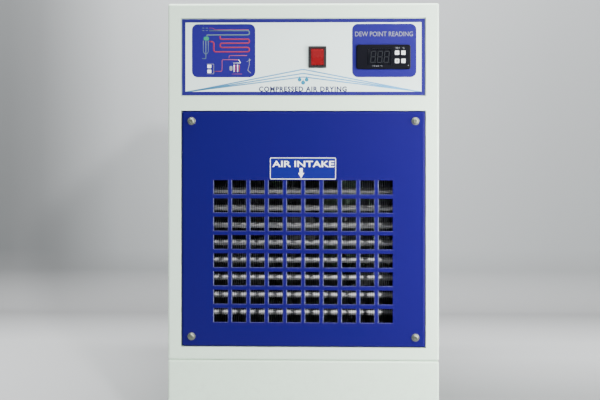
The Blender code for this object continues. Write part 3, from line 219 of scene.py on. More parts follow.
def filmFinish():               # the printed polyester film on the control plate
    look = Look("control_film", Coat_Weight=0.08, Coat_Roughness=0.3, Specular_IOR_Level=0.35)
    grain = look.noise(2600.0, 2.0, 0.6)
    cloud = look.noise(9.0, 3.0)
    smear = look.ramp(look.noise(55.0, 5.0, 0.65), (0.52, 0.0), (0.78, 1.0))
    tone = look.blend(cloud, (0.635, 0.755, 0.722), (0.665, 0.790, 0.756))
    tone = look.blend(smear * 0.05, tone, (0.5, 0.5, 0.47))
    return look.feed(Base_Color=tone, Roughness=cloud * 0.08 + smear * 0.1 + 0.33,
                     Normal=look.bump(grain, 0.00001, 0.6))


def ink(name, tone, depth=0.08):        # screen-printed ink: faint mottle, the film's own grain
    look = Look(name, Specular_IOR_Level=0.08)
    mottle = look.noise(420.0, 4.0, 0.6)
    weave = look.cells(3200.0)
    colour = look.blend(mottle, shade(tone, 1.0 - depth), shade(tone, 1.0 + depth))
    return look.feed(Base_Color=colour, Roughness=mottle * 0.12 + 0.32,
                     Normal=look.bump(weave, 0.000008, 0.5))


def platedSteel(name, tone, ring=0.30, streak=(1, 1, 1), grain=1400.0):
    look = Look(name, 1.0)
    brushed = look.noise(grain, 3.0, 0.6, look.stretched(streak))
    cloud = look.noise(120.0, 4.0, 0.6)
    bloom = look.ramp(look.noise(300.0, 5.0, 0.7), (0.50, 0.0), (0.75, 1.0))
    colour = look.blend(cloud, shade(tone, 0.86), shade(tone, 1.08))
    colour = look.blend(bloom * 0.3, colour, shade(tone, 1.15))
    return look.feed(Base_Color=colour, Roughness=brushed * 0.16 + bloom * 0.14 + (ring - 0.06),
                     Normal=look.bump(brushed, 0.00001, 0.7))


def galvanisedSheet():
    look = Look("galvanised_sheet", 0.9)
    warp = look.node("ShaderNodeVectorMath", {"operation": "MULTIPLY_ADD"}, {
        0: look.node("ShaderNodeTexNoise", {}, {"Vector": look.spot, "Scale": 60.0}, "Color"),
        1: (0.006, 0.006, 0.006), 2: look.spot})
    flake = look.node("ShaderNodeSeparateColor", {}, {0: look.cells(95.0, "Color", warp)}, "Red")
    fine = look.noise(900.0, 3.0)
    stain = look.ramp(look.noise(14.0, 6.0, 0.65), (0.54, 0.0), (0.80, 1.0))
    colour = look.blend(flake, (0.43, 0.45, 0.47), (0.66, 0.68, 0.69))
    colour = look.blend(stain * 0.35, colour, (0.50, 0.49, 0.46))
    return look.feed(Base_Color=colour, Roughness=flake * 0.20 + stain * 0.15 + 0.28,
                     Normal=look.bump(flake * 0.4 + fine * 0.6, 0.00002, 0.6))


def warmMetal(name, tone, dark, patch=45.0, base=0.24):     # copper and brass, dulled in patches
    look = Look(name, 1.0)
    wave = look.noise(patch, 6.0, 0.65)
    tarnish = look.ramp(wave, (0.42, 0.0), (0.70, 1.0))
    fine = look.noise(1500.0, 3.0, 0.6)
    heat = look.ramp(look.noise(patch * 0.3, 3.0), (0.45, 0.0), (0.65, 1.0))
    colour = look.blend(tarnish * 0.6, tone, dark)
    colour = look.blend(heat * 0.25, colour, shade(dark, 0.6))
    return look.feed(Base_Color=colour, Roughness=tarnish * 0.22 + fine * 0.08 + base,
                     Normal=look.bump(fine, 0.00001, 0.5))


def mouldedPlastic(name, tone, rough=0.42, grain=1800.0, depth=0.00002, rubbed=0.03, **fixed):
    look = Look(name, **fixed)
    spark = look.cells(grain)
    cloud = look.noise(70.0, 4.0)
    rub = look.ramp(look.noise(210.0, 5.0, 0.7), (0.55, 0.0), (0.80, 1.0))
    colour = look.blend(cloud, shade(tone, 0.93), shade(tone, 1.06))
    colour = look.blend(rub * 0.12, colour, tuple(channel * 0.7 + rubbed for channel in tone))
    return look.feed(Base_Color=colour, Roughness=cloud * 0.08 + rub * 0.12 + (rough - 0.04),
                     Normal=look.bump(spark, depth, 0.5))


def enamel(name, tone, rough, peel=420.0):      # brushed-on or dipped black paint
    look = Look(name, 0.1, Coat_Weight=0.15)
    skin = look.noise(peel, 3.0, 0.5)
    dust = look.ramp(look.noise(28.0, 7.0, 0.7), (0.48, 0.0), (0.82, 1.0))
    chip = look.ramp(look.noise(180.0, 4.0, 0.7), (0.70, 0.0), (0.73, 1.0))
    colour = look.blend(dust * 0.30, tone, (0.14, 0.13, 0.12))
    colour = look.blend(chip * 0.5, colour, (0.16, 0.12, 0.10))
    return look.feed(Base_Color=colour, Roughness=skin * 0.10 + dust * 0.25 + rough,
                     Normal=look.bump(skin - chip * 0.4, 0.00008, 0.6))


def rubberFinish():
    look = Look("rubber_foot")
    pore = look.cells(900.0)
    dust = look.ramp(look.noise(80.0, 6.0, 0.7), (0.42, 0.0), (0.75, 1.0))
    colour = look.blend(dust * 0.5, (0.020, 0.020, 0.021), (0.085, 0.082, 0.078))
    return look.feed(Base_Color=colour, Roughness=dust * 0.12 + 0.72,
                     Normal=look.bump(pore, 0.00005, 0.6))


def foamFinish():
    look = Look("closed_cell_foam", Sheen_Weight=0.15)
    cell = look.cells(620.0, feature="SMOOTH_F1")
    fold = look.noise(42.0, 4.0)
    colour = look.blend(fold, (0.016, 0.016, 0.018), (0.036, 0.036, 0.038))
    return look.feed(Base_Color=colour, Roughness=cell * 0.1 + 0.86,
                     Normal=look.bump(cell * 0.6 + fold * 0.4, 0.0004, 0.7))


def lensFinish():               # smoked acrylic over the display
    look = Look("display_lens_smoke", Coat_Weight=0.15, Coat_Roughness=0.05, Specular_IOR_Level=0.3)
    scratch = look.noise(700.0, 3.0, 0.6, look.stretched((1, 1, 14), (0, 0.5, 0)))
    smudge = look.ramp(look.noise(110.0, 4.0), (0.48, 0.0), (0.72, 1.0))
    colour = look.blend(smudge, (0.0032, 0.0036, 0.0058), (0.0050, 0.0054, 0.0080))
    return look.feed(Base_Color=colour, Roughness=smudge * 0.16 + scratch * 0.05 + 0.07)


def finMetal():                 # dark coated fins with bare patches of dust
    look = Look("condenser_fins_coated", 0.55)
    dust = look.ramp(look.noise(160.0, 5.0, 0.7), (0.45, 0.0), (0.80, 1.0))
    grain = look.noise(900.0, 3.0, 0.6, look.stretched((1, 1, 0.1)))
    colour = look.blend(dust * 0.5, (0.020, 0.021, 0.026), (0.075, 0.074, 0.075))
    return look.feed(Base_Color=colour, Roughness=grain * 0.15 + dust * 0.2 + 0.36,
                     Normal=look.bump(grain, 0.00003, 0.6))


def tinnedTube():               # the condenser's tinned tube, bright under its dust
    look = Look("condenser_tube_tinned", 0.45)
    run = look.noise(260.0, 4.0, 0.6, look.stretched((0.2, 1, 1)))
    dust = look.ramp(look.noise(90.0, 5.0, 0.7), (0.50, 0.0), (0.85, 1.0))
    colour = look.blend(run, (0.80, 0.80, 0.83), (0.93, 0.92, 0.91))
    colour = look.blend(dust * 0.25, colour, (0.40, 0.38, 0.36))
    return look.feed(Base_Color=colour, Roughness=run * 0.14 + dust * 0.3 + 0.30,
                     Normal=look.bump(run, 0.00003, 0.5))


def floorFinish():              # paper with painted light falloff across the wall, and painted shade in the cove and on the floor
    look = Look("studio_paper", Specular_IOR_Level=0.1)
    cloud = look.noise(1.4, 3.0)
    fibre = look.noise(700.0, 3.0)
    wall = look.ramp(look.axis("Z") * 5.0, (0.02, 0.0), (0.70, 1.0))
    drift = look.axis("X") * 0.5 + 0.5
    # painted light: the wall's brightness falls off towards the left and slightly to the right, as from a
    # lamp on the right
    paintedLightAcrossWall = look.ramp(drift, (0.12, 0.36), (0.16, 0.42), (0.19, 0.54), (0.225, 0.70), (0.26, 0.88),
                           (0.31, 1.0), (0.60, 0.88), (0.80, 0.77))
    # painted shade: the floor darkens towards the wall and the cove
    deep = look.ramp(look.axis("Y"), (0.42, 0.0), (0.70, 1.0))
    # painted shadow on the floor in front of the cabinet, on its right side
    nearFrontShade = look.ramp(look.axis("Y"), (0.04, 1.0), (0.30, 0.0))
    rightSideShade = look.ramp(drift, (0.50, 0.0), (0.62, 1.0))
    colour = look.blend(paintedLightAcrossWall, (0.0, 0.0, 0.0), (0.295, 0.306, 0.313))
    floorTone = look.blend(cloud, (0.310, 0.317, 0.322), (0.332, 0.338, 0.343))
    floorTone = look.blend(deep * 0.45, floorTone, (0.0, 0.0, 0.0))
    floorTone = look.blend(nearFrontShade * rightSideShade * 0.42, floorTone, (0.0, 0.0, 0.0))
    colour = look.blend(wall, floorTone, colour)
    look.feed(Base_Color=colour, Roughness=cloud * 0.1 + 0.8, Normal=look.bump(fibre, 0.0001, 0.3))
    behind = look.node("ShaderNodeNewGeometry", out="Backfacing")
    clear = look.node("ShaderNodeBsdfTransparent")
    solid = Wire(look, look.shader.outputs[0])
    either = look.node("ShaderNodeMixShader", values={0: behind, 1: solid, 2: clear})
    look.tree.links.new(either.socket, look.tree.nodes["Material Output"].inputs["Surface"])
    return look.material


finishes = {
    "cabinet": cabinetFinish(),
    "grille": grilleFinish(),
    "film": filmFinish(),
    "zinc": platedSteel("zinc_plate", (0.185, 0.205, 0.170), 0.42),
    "fan": platedSteel("fan_aluminium", (0.56, 0.57, 0.58), 0.36, (1, 1, 0.2), 700.0),
    "stainless": platedSteel("brushed_stainless", (0.62, 0.61, 0.60), 0.27, (1, 1, 0.06), 1100.0),
    "galvanised": galvanisedSheet(),
    "copper": warmMetal("copper_pipe", (0.78, 0.42, 0.29), (0.36, 0.17, 0.10)),
    "brass": warmMetal("brass_fitting", (0.74, 0.56, 0.28), (0.40, 0.28, 0.13), 90.0, 0.22),
    "tube": tinnedTube(),
    "fins": finMetal(),
    "black": mouldedPlastic("black_plastic_spark", (0.0125, 0.0125, 0.0135), 0.42, Specular_IOR_Level=0.25),
    "case": mouldedPlastic("controller_bezel", (0.0022, 0.0024, 0.0050), 0.34, 2600.0, 0.00001, 0.006,
                           Specular_IOR_Level=0.10),
    "rocker": mouldedPlastic("rocker_red_gloss", (0.158, 0.0035, 0.0060), 0.26, 900.0, 0.000004, 0.008,
                             Coat_Weight=0.10, Specular_IOR_Level=0.2),
    "key": mouldedPlastic("key_white_silicone", (0.74, 0.75, 0.77), 0.5, 2200.0),
    "lever": mouldedPlastic("lever_red_vinyl", (0.42, 0.020, 0.020), 0.45, 1200.0),
    "terminal": mouldedPlastic("terminal_grey_resin", (0.42, 0.43, 0.44), 0.5, 1500.0),
    "capacitor": mouldedPlastic("capacitor_cream", (0.68, 0.68, 0.65), 0.42, 900.0),
    "rubber": rubberFinish(),
    "foam": foamFinish(),
    "lens": lensFinish(),
    "motor": enamel("motor_black_enamel", (0.022, 0.022, 0.024), 0.40),
    "compressor": enamel("compressor_black_enamel", (0.012, 0.012, 0.014), 0.26),
    "borderInk": ink("ink_border_blue", (0.0165, 0.0120, 0.120)),
    "fieldInk": ink("ink_field_blue", (0.0150, 0.0098, 0.136), 0.12),
    "labelInk": ink("ink_label_blue", (0.0070, 0.0085, 0.131), 0.12),
    "whiteInk": ink("ink_white", (0.80, 0.82, 0.84)),
    "redInk": ink("ink_pipe_red", (0.22, 0.024, 0.044)),
    "salmonInk": ink("ink_line_salmon", (0.22, 0.048, 0.075)),
    "greyInk": ink("ink_pipe_green_grey", (0.075, 0.120, 0.145)),
    "greenInk": ink("ink_cap_green", (0.020, 0.200, 0.110)),
    "skyInk": ink("ink_sky_line", (0.060, 0.235, 0.430)),
    "tealInk": ink("ink_teal", (0.010, 0.170, 0.290)),
    "titleInk": ink("ink_title_slate", (0.012, 0.014, 0.070)),
    "ghostInk": ink("display_segment_off", (0.0135, 0.0145, 0.0165)),
    "markInk": ink("ink_small_marks", (0.20, 0.21, 0.23)),
}
print("finishes made:", len(finishes))

nodeFinishes = {
    "cabinet": ["front_panel", "lower_front_panel", "left_side_panel", "right_side_panel",
                "top_cover", "rear_panel"],
    "galvanised": ["base_pan", "condenser_left_plate", "condenser_right_plate", "fan_shroud",
                   "motor_strap", "electrics_shelf"],
    "rubber": ["foot_front_left", "foot_front_right", "foot_rear_left", "foot_rear_right",
               "grommet_front_left", "grommet_front_right", "grommet_rear_left",
               "grommet_rear_right"],
    "grille": ["grille_panel"],
    "film": ["control_plate"],
    "black": ["switch_housing", "terminal_cover", "cable_gland"],
    "rocker": ["switch_rocker"],
    "case": ["controller_case"],
    "lens": ["display_window"],
    "key": ["controller_key_upper_left", "controller_key_upper_right",
            "controller_key_lower_left", "controller_key_lower_right"],
    "tube": ["condenser_tube"],
    "copper": ["discharge_line", "liquid_line", "suction_line", "filter_drier", "capillary_tube",
               "air_inlet_pipe", "air_outlet_pipe", "drain_pipe"],
    "motor": ["fan_motor"],
    "fan": ["fan_blade"],
    "terminal": ["terminal_block"],
    "capacitor": ["run_capacitor"],
    "compressor": ["compressor_shell"],
    "stainless": ["exchanger_core", "moisture_separator"],
    "foam": ["exchanger_jacket"],
    "brass": ["air_inlet_port", "air_outlet_port", "drain_solenoid", "drain_valve"],
    "lever": ["drain_lever"],
    "zinc": ["grille_screw_upper_left", "grille_screw_upper_right",
             "grille_screw_lower_left", "grille_screw_lower_right"],
    "fins": ["condenser_fin_pack"],
}
for finishName, members in nodeFinishes.items():
    for member in members:
        nodes[member].data.materials.clear()
        nodes[member].data.materials.append(finishes[finishName])
print("CAD nodes painted")


# Modelling helpers

def clearPick():
    if bpy.context.object and bpy.context.object.mode != "OBJECT":
        bpy.ops.object.mode_set(mode="OBJECT")
    bpy.ops.object.select_all(action="DESELECT")


def pick(piece):
    clearPick()
    piece.select_set(True)
    bpy.context.view_layer.objects.active = piece


def settle(piece):              # turn, size and place go into the mesh
    pick(piece)
    bpy.ops.object.transform_apply(location=True, rotation=True, scale=True)


def edit(piece, mode="FACE"):
    pick(piece)
    bpy.ops.object.mode_set(mode="EDIT")
    bpy.ops.mesh.select_mode(type=mode)
    bpy.ops.mesh.select_all(action="SELECT")


def pickParts(piece, kind, wanted):     # leaves edit mode on, with the wanted edges or points selected
    edit(piece, kind)
    bpy.ops.mesh.select_all(action="DESELECT")
    bpy.ops.object.mode_set(mode="OBJECT")
    parts = piece.data.edges if kind == "EDGE" else piece.data.vertices
    for part in parts:
        part.select = wanted(part)
    bpy.ops.object.mode_set(mode="EDIT")


def endsOf(piece, edge):
    return [piece.data.vertices[i].co for i in edge.vertices]


def tidyMesh(piece):
    edit(piece)
    bpy.ops.mesh.remove_doubles(threshold=0.000002)
    bpy.ops.mesh.select_all(action="SELECT")
    bpy.ops.mesh.normals_make_consistent(inside=False)
    bpy.ops.object.mode_set(mode="OBJECT")


def push(step):
    bpy.ops.mesh.extrude_region_move(TRANSFORM_OT_translate={"value": step})


def smooth(piece, angle=35):
    pick(piece)
    bpy.ops.object.shade_smooth_by_angle(angle=math.radians(angle))


def dress(piece, finishName, body="cabinet"):
    piece.data.materials.clear()
    piece.data.materials.append(finishes[finishName])
    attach(piece, body)
    return piece


def copyAt(piece, name, step):          # its own mesh, moved by step
    twin = piece.copy()
    twin.data = piece.data.copy()
    twin.name = name
    bpy.context.collection.objects.link(twin)
    twin.location = step
    settle(twin)
    return twin


def joinUp(name, pieces):
    clearPick()
    for piece in pieces:
        piece.select_set(True)
    bpy.context.view_layer.objects.active = pieces[0]
    if len(pieces) > 1:
        bpy.ops.object.join()
    pieces[0].name = name
    return pieces[0]


def upright(name, left, right, low, high, back):     # a rectangle in the front plane, in edit mode
    clearPick()
    centre = ((left + right) / 2, back, (low + high) / 2)
    bpy.ops.mesh.primitive_plane_add(size=1, location=centre, rotation=(math.pi / 2, 0, 0))
    piece = bpy.context.object
    piece.name = name
    piece.scale = (right - left, high - low, 1)
    settle(piece)
    edit(piece, "VERT")
    return piece


def card(name, left, right, low, high, back, front, radius=0.0, steps=6):
    # a rounded rectangle that faces the front, from y=back out to y=front
    piece = upright(name, left, right, low, high, back)
    if radius:
        bpy.ops.mesh.bevel(offset=radius, segments=steps, affect="VERTICES")
        bpy.ops.mesh.select_all(action="SELECT")
    push((0, front - back, 0))
    tidyMesh(piece)
    return piece


def ring(name, left, right, low, high, back, front, width, radius=0.0):
    # a flat rectangular border of one width
    piece = upright(name, left, right, low, high, back)
    if radius:
        bpy.ops.mesh.bevel(offset=radius, segments=4, affect="VERTICES")
    bpy.ops.mesh.select_mode(type="FACE")
    bpy.ops.mesh.select_all(action="SELECT")
    bpy.ops.mesh.inset(thickness=width, depth=0)
    bpy.ops.mesh.delete(type="FACE")
    bpy.ops.mesh.select_all(action="SELECT")
    push((0, front - back, 0))
    tidyMesh(piece)
    return piece


def rounded(corners, radius, steps=5):      # a flat path with its corners rounded
    path = [Vector(corners[0])]
    for before, corner, after in zip(corners, corners[1:], corners[2:]):
        corner = Vector(corner)
        back = (Vector(before) - corner)
        onward = (Vector(after) - corner)
        reach = min(radius, back.length / 2, onward.length / 2)
        start = corner + back.normalized() * reach
        end = corner + onward.normalized() * reach
        for step in range(steps + 1):
            share = step / steps
            path.append(start.lerp(corner, share).lerp(corner.lerp(end, share), share))
    path.append(Vector(corners[-1]))
    return path


def stroke(name, path, width, back, thickness, closed=False):
    # a printed line: a round bar along (x, z) points, pressed flat on y=back
    line = bpy.data.curves.new(name, "CURVE")
    line.dimensions = "3D"
    line.bevel_depth = width / 2
    line.bevel_resolution = 1
    line.use_fill_caps = not closed
    run = line.splines.new("POLY")
    run.use_cyclic_u = closed
    run.points.add(len(path) - 1)
    for point, (x, z) in zip(run.points, path):
        point.co = (x, 0, z, 1)
    piece = bpy.data.objects.new(name, line)
    bpy.context.collection.objects.link(piece)
    pick(piece)
    bpy.ops.object.convert(target="MESH")
    piece = bpy.context.object
    piece.scale = (1, 2 * thickness / width, 1)
    piece.location = (0, back, 0)
    settle(piece)
    tidyMesh(piece)
    return piece


def letters(name, words, left, right, low, high, back, front, weight=0.0, spacing=1.0):
    # words that fill the given width and height exactly
    clearPick()
    bpy.ops.object.text_add(location=(0, 0, 0))
    piece = bpy.context.object
    piece.name = name
    piece.data.body = words
    piece.data.size = 1.0
    piece.data.resolution_u = 3
    piece.data.space_character = spacing
    piece.data.offset = weight
    piece.data.extrude = 0.5
    bpy.ops.object.convert(target="MESH")
    piece = bpy.context.object
    bpy.context.view_layer.update()
    corners = [Vector(corner) for corner in piece.bound_box]
    width = corners[6].x - corners[0].x
    height = corners[6].y - corners[0].y
    sizeX, sizeY = (right - left) / width, (high - low) / height
    piece.scale = (sizeX, sizeY, back - front)
    piece.rotation_euler = (math.pi / 2, 0, 0)
    piece.location = (left - corners[0].x * sizeX, (back + front) / 2, low - corners[0].y * sizeY)
    settle(piece)
    tidyMesh(piece)
    return piece


def lathe(name, profile, centre, along="Y", steps=32):
    # spins (radius, reach) points about an axis through centre; reach runs along the axis
    clearPick()
    bpy.ops.mesh.primitive_plane_add(size=0.001, location=(0, 0, 0))
    piece = bpy.context.object
    piece.name = name
    edit(piece, "VERT")
    bpy.ops.mesh.merge(type="CENTER")
    bpy.ops.transform.translate(value=(profile[0][0], 0, profile[0][1]))
    for (oldRadius, oldReach), (radius, reach) in zip(profile, profile[1:]):
        bpy.ops.mesh.extrude_vertices_move(
            TRANSFORM_OT_translate={"value": (radius - oldRadius, 0, reach - oldReach)})
    bpy.ops.mesh.select_all(action="SELECT")
    bpy.ops.mesh.spin(steps=steps, angle=math.tau, center=(0, 0, 0), axis=(0, 0, 1))
    bpy.ops.object.mode_set(mode="OBJECT")
    turns = {"Z": (0, 0, 0), "-Z": (math.pi, 0, 0), "Y": (-math.pi / 2, 0, 0),
             "-Y": (math.pi / 2, 0, 0), "X": (0, math.pi / 2, 0), "-X": (0, -math.pi / 2, 0)}
    piece.rotation_euler = turns[along]
    piece.location = centre
    settle(piece)
    tidyMesh(piece)
    return piece


def bar(name, low, high, edge=0.0, steps=2):        # a box between two corners, edges rounded
    clearPick()
    low, high = Vector(low), Vector(high)
    bpy.ops.mesh.primitive_cube_add(size=1, location=(low + high) / 2)
    piece = bpy.context.object
    piece.name = name
    piece.scale = high - low
    settle(piece)
    if edge:
        edit(piece, "EDGE")
        bpy.ops.mesh.bevel(offset=edge, segments=steps, affect="EDGES")
        bpy.ops.object.mode_set(mode="OBJECT")
    return piece


def carve(piece, cutter, operation="DIFFERENCE"):
    change = piece.modifiers.new("Carve", "BOOLEAN")
    change.operation = operation
    change.object = cutter
    change.solver = "EXACT"
    pick(piece)
    bpy.ops.object.modifier_apply(modifier=change.name)
    bpy.data.objects.remove(cutter, do_unlink=True)
    return piece


# Control plate print

film = plateLow.y                       # the plate's front face
printed = {"inset": 0.0003, "border": 0.0052, "field": (0.5353, 0.6111), "leftField": (-0.1586, -0.0680),
           "rightField": (0.0694, 0.1606), "corner": 0.0085, "layer": 0.00006,
           "title": "COMPRESSED AIR DRYING", "heading": "DEW POINT READING",
           "peaks": (0.5462, 0.5405, 0.5355), "peakEnd": (0.1672, 0.5140), "peakWide": 0.0019,
           "peakStep": 0.0003, "crown": 0.002,
           "titleBox": (-0.0630, 0.0620, 0.5147, 0.5222), "headingBox": (0.0738, 0.1556, 0.5933, 0.6000),
           "drops": (("middle", 0.0, 0.5276, 0.0029), ("left", -0.0050, 0.5318, 0.0027),
                     ("right", 0.0050, 0.5318, 0.0027))}


def layer(count):                       # how far out the ink of that layer stands
    return film - printed["layer"] * count


inset = printed["inset"]
border = ring("overlay_border", plateLow.x + inset, plateHigh.x - inset, plateLow.z + inset,
              plateHigh.z - inset, film, layer(1), printed["border"])
dress(border, "borderInk")
for side in ("leftField", "rightField"):
    left, right = printed[side]
    low, high = printed["field"]
    field = card("overlay_" + side, left, right, low, high, film, layer(1), printed["corner"], 8)
    dress(field, "fieldInk")

for count, top in enumerate(printed["peaks"]):
    for side in (-1, 1):
        reach, foot = printed["peakEnd"]
        crown = printed["crown"] * side
        path = [(side * reach, foot + printed["peakStep"] * count), (crown, top), (0, top)]
        line = stroke("overlay_peak_%d_%s" % (count, "left" if side < 0 else "right"),
                      path, printed["peakWide"], film, printed["layer"])
        dress(line, "skyInk")

title = letters("overlay_title", printed["title"], *printed["titleBox"], film, layer(1), 0.034, 1.14)
dress(title, "titleInk")
heading = letters("overlay_heading", printed["heading"], *printed["headingBox"], layer(1), layer(2))
dress(heading, "markInk")

# a plain drop of water over the title, with two small ones beside it
for label, x, z, size in printed["drops"]:
    clearPick()
    bpy.ops.mesh.primitive_circle_add(vertices=24, radius=size, fill_type="NGON",
                                      location=(x, film, z), rotation=(math.pi / 2, 0, 0))
    drop = bpy.context.object
    drop.name = "overlay_drop_" + label
    settle(drop)
    pickParts(drop, "VERT", lambda vertex: vertex.co.z > z + size * 0.98)
    bpy.ops.transform.translate(value=(0, 0, size * 1.1))
    bpy.ops.mesh.select_mode(type="FACE")
    bpy.ops.mesh.select_all(action="SELECT")
    push((0, -printed["layer"], 0))
    tidyMesh(drop)
    dress(drop, "tealInk")
print("control plate print done")


# Flow diagram on the left field

diagram = {"pipe": 0.0019, "thin": 0.0011, "hair": 0.0007, "bend": 0.0034}
fieldLeft, fieldRight = printed["leftField"]
fieldLow, fieldHigh = printed["field"]


def onField(points):                    # shares of the field's width and height to metres
    return [(fieldLeft + (fieldRight - fieldLeft) * u, fieldLow + (fieldHigh - fieldLow) * v)
            for u, v in points]


def pipeLine(name, points, width, finishName, bend=None, closed=False):
    path = onField(points)
    if bend:
        path = [tuple(point) for point in rounded(path, bend)]
    line = stroke("diagram_" + name, path, width, layer(1), printed["layer"], closed)
    return dress(line, finishName)


pipeLine("air_loop", [(0.27, 0.875), (0.905, 0.875), (0.905, 0.795), (0.235, 0.795), (0.235, 0.76)],
         diagram["pipe"], "greyInk", diagram["bend"])
pipeLine("air_feed", [(0.27, 0.925), (0.33, 0.925), (0.36, 0.895), (0.90, 0.895)],
         diagram["hair"], "salmonInk", 0.001)
pipeLine("cold_loop", [(0.445, 0.775), (0.445, 0.715), (0.905, 0.715), (0.905, 0.640),
                       (0.445, 0.640), (0.445, 0.560), (0.905, 0.560), (0.905, 0.478),
                       (0.345, 0.478), (0.345, 0.670), (0.275, 0.670)],
         diagram["pipe"], "redInk", diagram["bend"])
pipeLine("hot_gas", [(0.87, 0.408), (0.585, 0.408), (0.585, 0.355)],
         diagram["thin"], "salmonInk", 0.002)
pipeLine("return_gas", [(0.725, 0.330), (0.475, 0.330), (0.475, 0.112), (0.355, 0.112)],
         diagram["thin"], "salmonInk", 0.002)
pipeLine("vessel", [(0.180, 0.690), (0.180, 0.470), (0.220, 0.425), (0.258, 0.470), (0.258, 0.690)],
         diagram["hair"] * 1.2, "greyInk", 0.002)
pipeLine("vessel_rod", [(0.220, 0.690), (0.220, 0.350), (0.160, 0.350)],
         diagram["thin"], "greyInk", 0.001)
for count, (u, v) in enumerate(((0.275, 0.205), (0.275, 0.112))):
    (x, z), = onField([(u, v)])
    box = card("diagram_compressor_%d" % count, x - 0.0028, x + 0.0028, z - 0.0024, z + 0.0024,
               layer(1), layer(2), 0.0008, 3)
    dress(box, "whiteInk")
pipeLine("compressor_base", [(0.235, 0.065), (0.345, 0.065), (0.345, 0.250), (0.235, 0.250)],
         diagram["hair"], "markInk", 0.001)
(x, z), = onField([(0.232, 0.715)])
cap = card("diagram_vessel_cap", x - 0.0042, x + 0.0034, z - 0.0016, z + 0.0036,
           layer(1), layer(2), 0.0022, 5)
dress(cap, "greenInk")
for count in range(4):                  # the fan motor: upright bars on a base line
    u = 0.665 + 0.028 * count
    pipeLine("motor_bar_%d" % count, [(u, 0.100), (u, 0.235)], diagram["thin"],
             ("whiteInk", "redInk")[count % 2])
pipeLine("motor_top", [(0.650, 0.268), (0.770, 0.268), (0.735, 0.335)],
         diagram["hair"], "whiteInk", 0.001)
pipeLine("motor_base", [(0.630, 0.062), (0.790, 0.062)], diagram["hair"], "salmonInk")
(x, z), = onField([(0.618, 0.168)])
nose = card("diagram_motor_nose", x - 0.0022, x + 0.0020, z - 0.0034, z + 0.0034,
            layer(1), layer(2), 0.0018, 4)
dress(nose, "markInk")
pipeLine("drain_arrow", [(0.905, 0.350), (0.905, 0.235), (0.880, 0.130), (0.930, 0.080)],
         diagram["hair"], "markInk", 0.001)
pipeLine("drain_tick", [(0.860, 0.290), (0.930, 0.330)], diagram["hair"], "markInk")
for count in range(4):                  # short dashes that stand for small captions
    u, v = 0.160 + 0.055 * (count % 2), 0.925 - 0.045 * (count // 2)
    pipeLine("caption_%d" % count, [(u, v), (u + 0.035, v)], diagram["thin"], "greyInk")
print("flow diagram done")


# Controller: the display's unlit segments, captions, a lamp and the keys' marks

display = {"left": 0.0943, "right": 0.1227, "low": 0.5561, "high": 0.5720, "digits": 3,
           "stroke": 0.0010, "lean": 0.10}


def segment(name, start, end, width):   # one bar of a digit, with pointed ends
    clearPick()
    middle = ((start[0] + end[0]) / 2, 0, (start[1] + end[1]) / 2)
    length = math.hypot(end[0] - start[0], end[1] - start[1]) * 0.90
    bpy.ops.mesh.primitive_circle_add(vertices=6, radius=width * 0.62, fill_type="NGON",
                                      rotation=(math.pi / 2, 0, 0))
    piece = bpy.context.object
    piece.name = name
    settle(piece)
    tall = abs(end[1] - start[1]) > abs(end[0] - start[0])
    pickParts(piece, "VERT", lambda vertex: vertex.co.z > 0.0001)
    bpy.ops.transform.translate(value=(0, 0, length - width * 1.1))
    bpy.ops.mesh.select_all(action="SELECT")
    push((0, -0.00004, 0))
    bpy.ops.object.mode_set(mode="OBJECT")
    lean = math.atan2(end[0] - start[0], end[1] - start[1])
    piece.location = (0, 0, -(length - width * 1.1) / 2)
    settle(piece)
    piece.rotation_euler = (0, lean if tall else math.pi / 2, 0)
    piece.location = (middle[0], lensLow.y, middle[2])
    settle(piece)
    tidyMesh(piece)
    return piece


pitch = (display["right"] - display["left"]) / display["digits"]
digitWidth, digitHeight = pitch * 0.66, display["high"] - display["low"]
bars = []
for digit in range(display["digits"]):
    x0 = display["left"] + pitch * digit + pitch * 0.12
    x1 = x0 + digitWidth
    zs = [display["low"], display["low"] + digitHeight / 2, display["high"]]
    lean = [display["lean"] * (z - zs[0]) for z in zs]
    joints = [(x0 + lean[i], zs[i]) for i in range(3)] + [(x1 + lean[i], zs[i]) for i in range(3)]
    for count, (a, b) in enumerate(((0, 1), (1, 2), (3, 4), (4, 5), (0, 3), (1, 4), (2, 5))):
        bars.append(segment("bar_%d_%d" % (digit, count), joints[a], joints[b], display["stroke"]))
    bars.append(card("point_%d" % digit, x1 + 0.0006, x1 + 0.0016, zs[0] - 0.0004, zs[0] + 0.0006,
                     lensLow.y, lensLow.y - 0.00004, 0.0003, 3))
digits = joinUp("display_digits", bars)
dress(digits, "ghostInk")

faceY = caseLow.y
captions = letters("controller_caption_keys", "SET  °C", 0.1308, 0.1441, 0.5755, 0.5777,
                   faceY, faceY - 0.00005)
dress(captions, "markInk")
units = letters("controller_caption_display", "10-60 °C", 0.0985, 0.1130, 0.5503, 0.5523,
                faceY, faceY - 0.00005)
dress(units, "markInk")
lampShape = [(0, 0.0005), (0.0004, 0.0004), (0.0007, 0.0001), (0.0007, -0.0004), (0, -0.0004)]
lamp = lathe("controller_lamp", lampShape, (0.1489, faceY, 0.5519), "-Y", 16)
smooth(lamp)
dress(lamp, "markInk")
keyMarks = {"upper_left": "+", "upper_right": "-", "lower_left": "1", "lower_right": "0"}
for place, mark in keyMarks.items():
    keyLow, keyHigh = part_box("controller_key_" + place)
    x, z = (keyLow.x + keyHigh.x) / 2, (keyLow.z + keyHigh.z) / 2
    tall = 0.0003 if mark == "-" else 0.0011
    sign = letters("key_mark_" + place, mark, x - 0.0009, x + 0.0009, z - tall, z + tall,
                   keyLow.y + 0.00001, keyLow.y - 0.00003)
    dress(sign, "ghostInk", "key_" + place)
print("controller done")


# Intake label on the grille

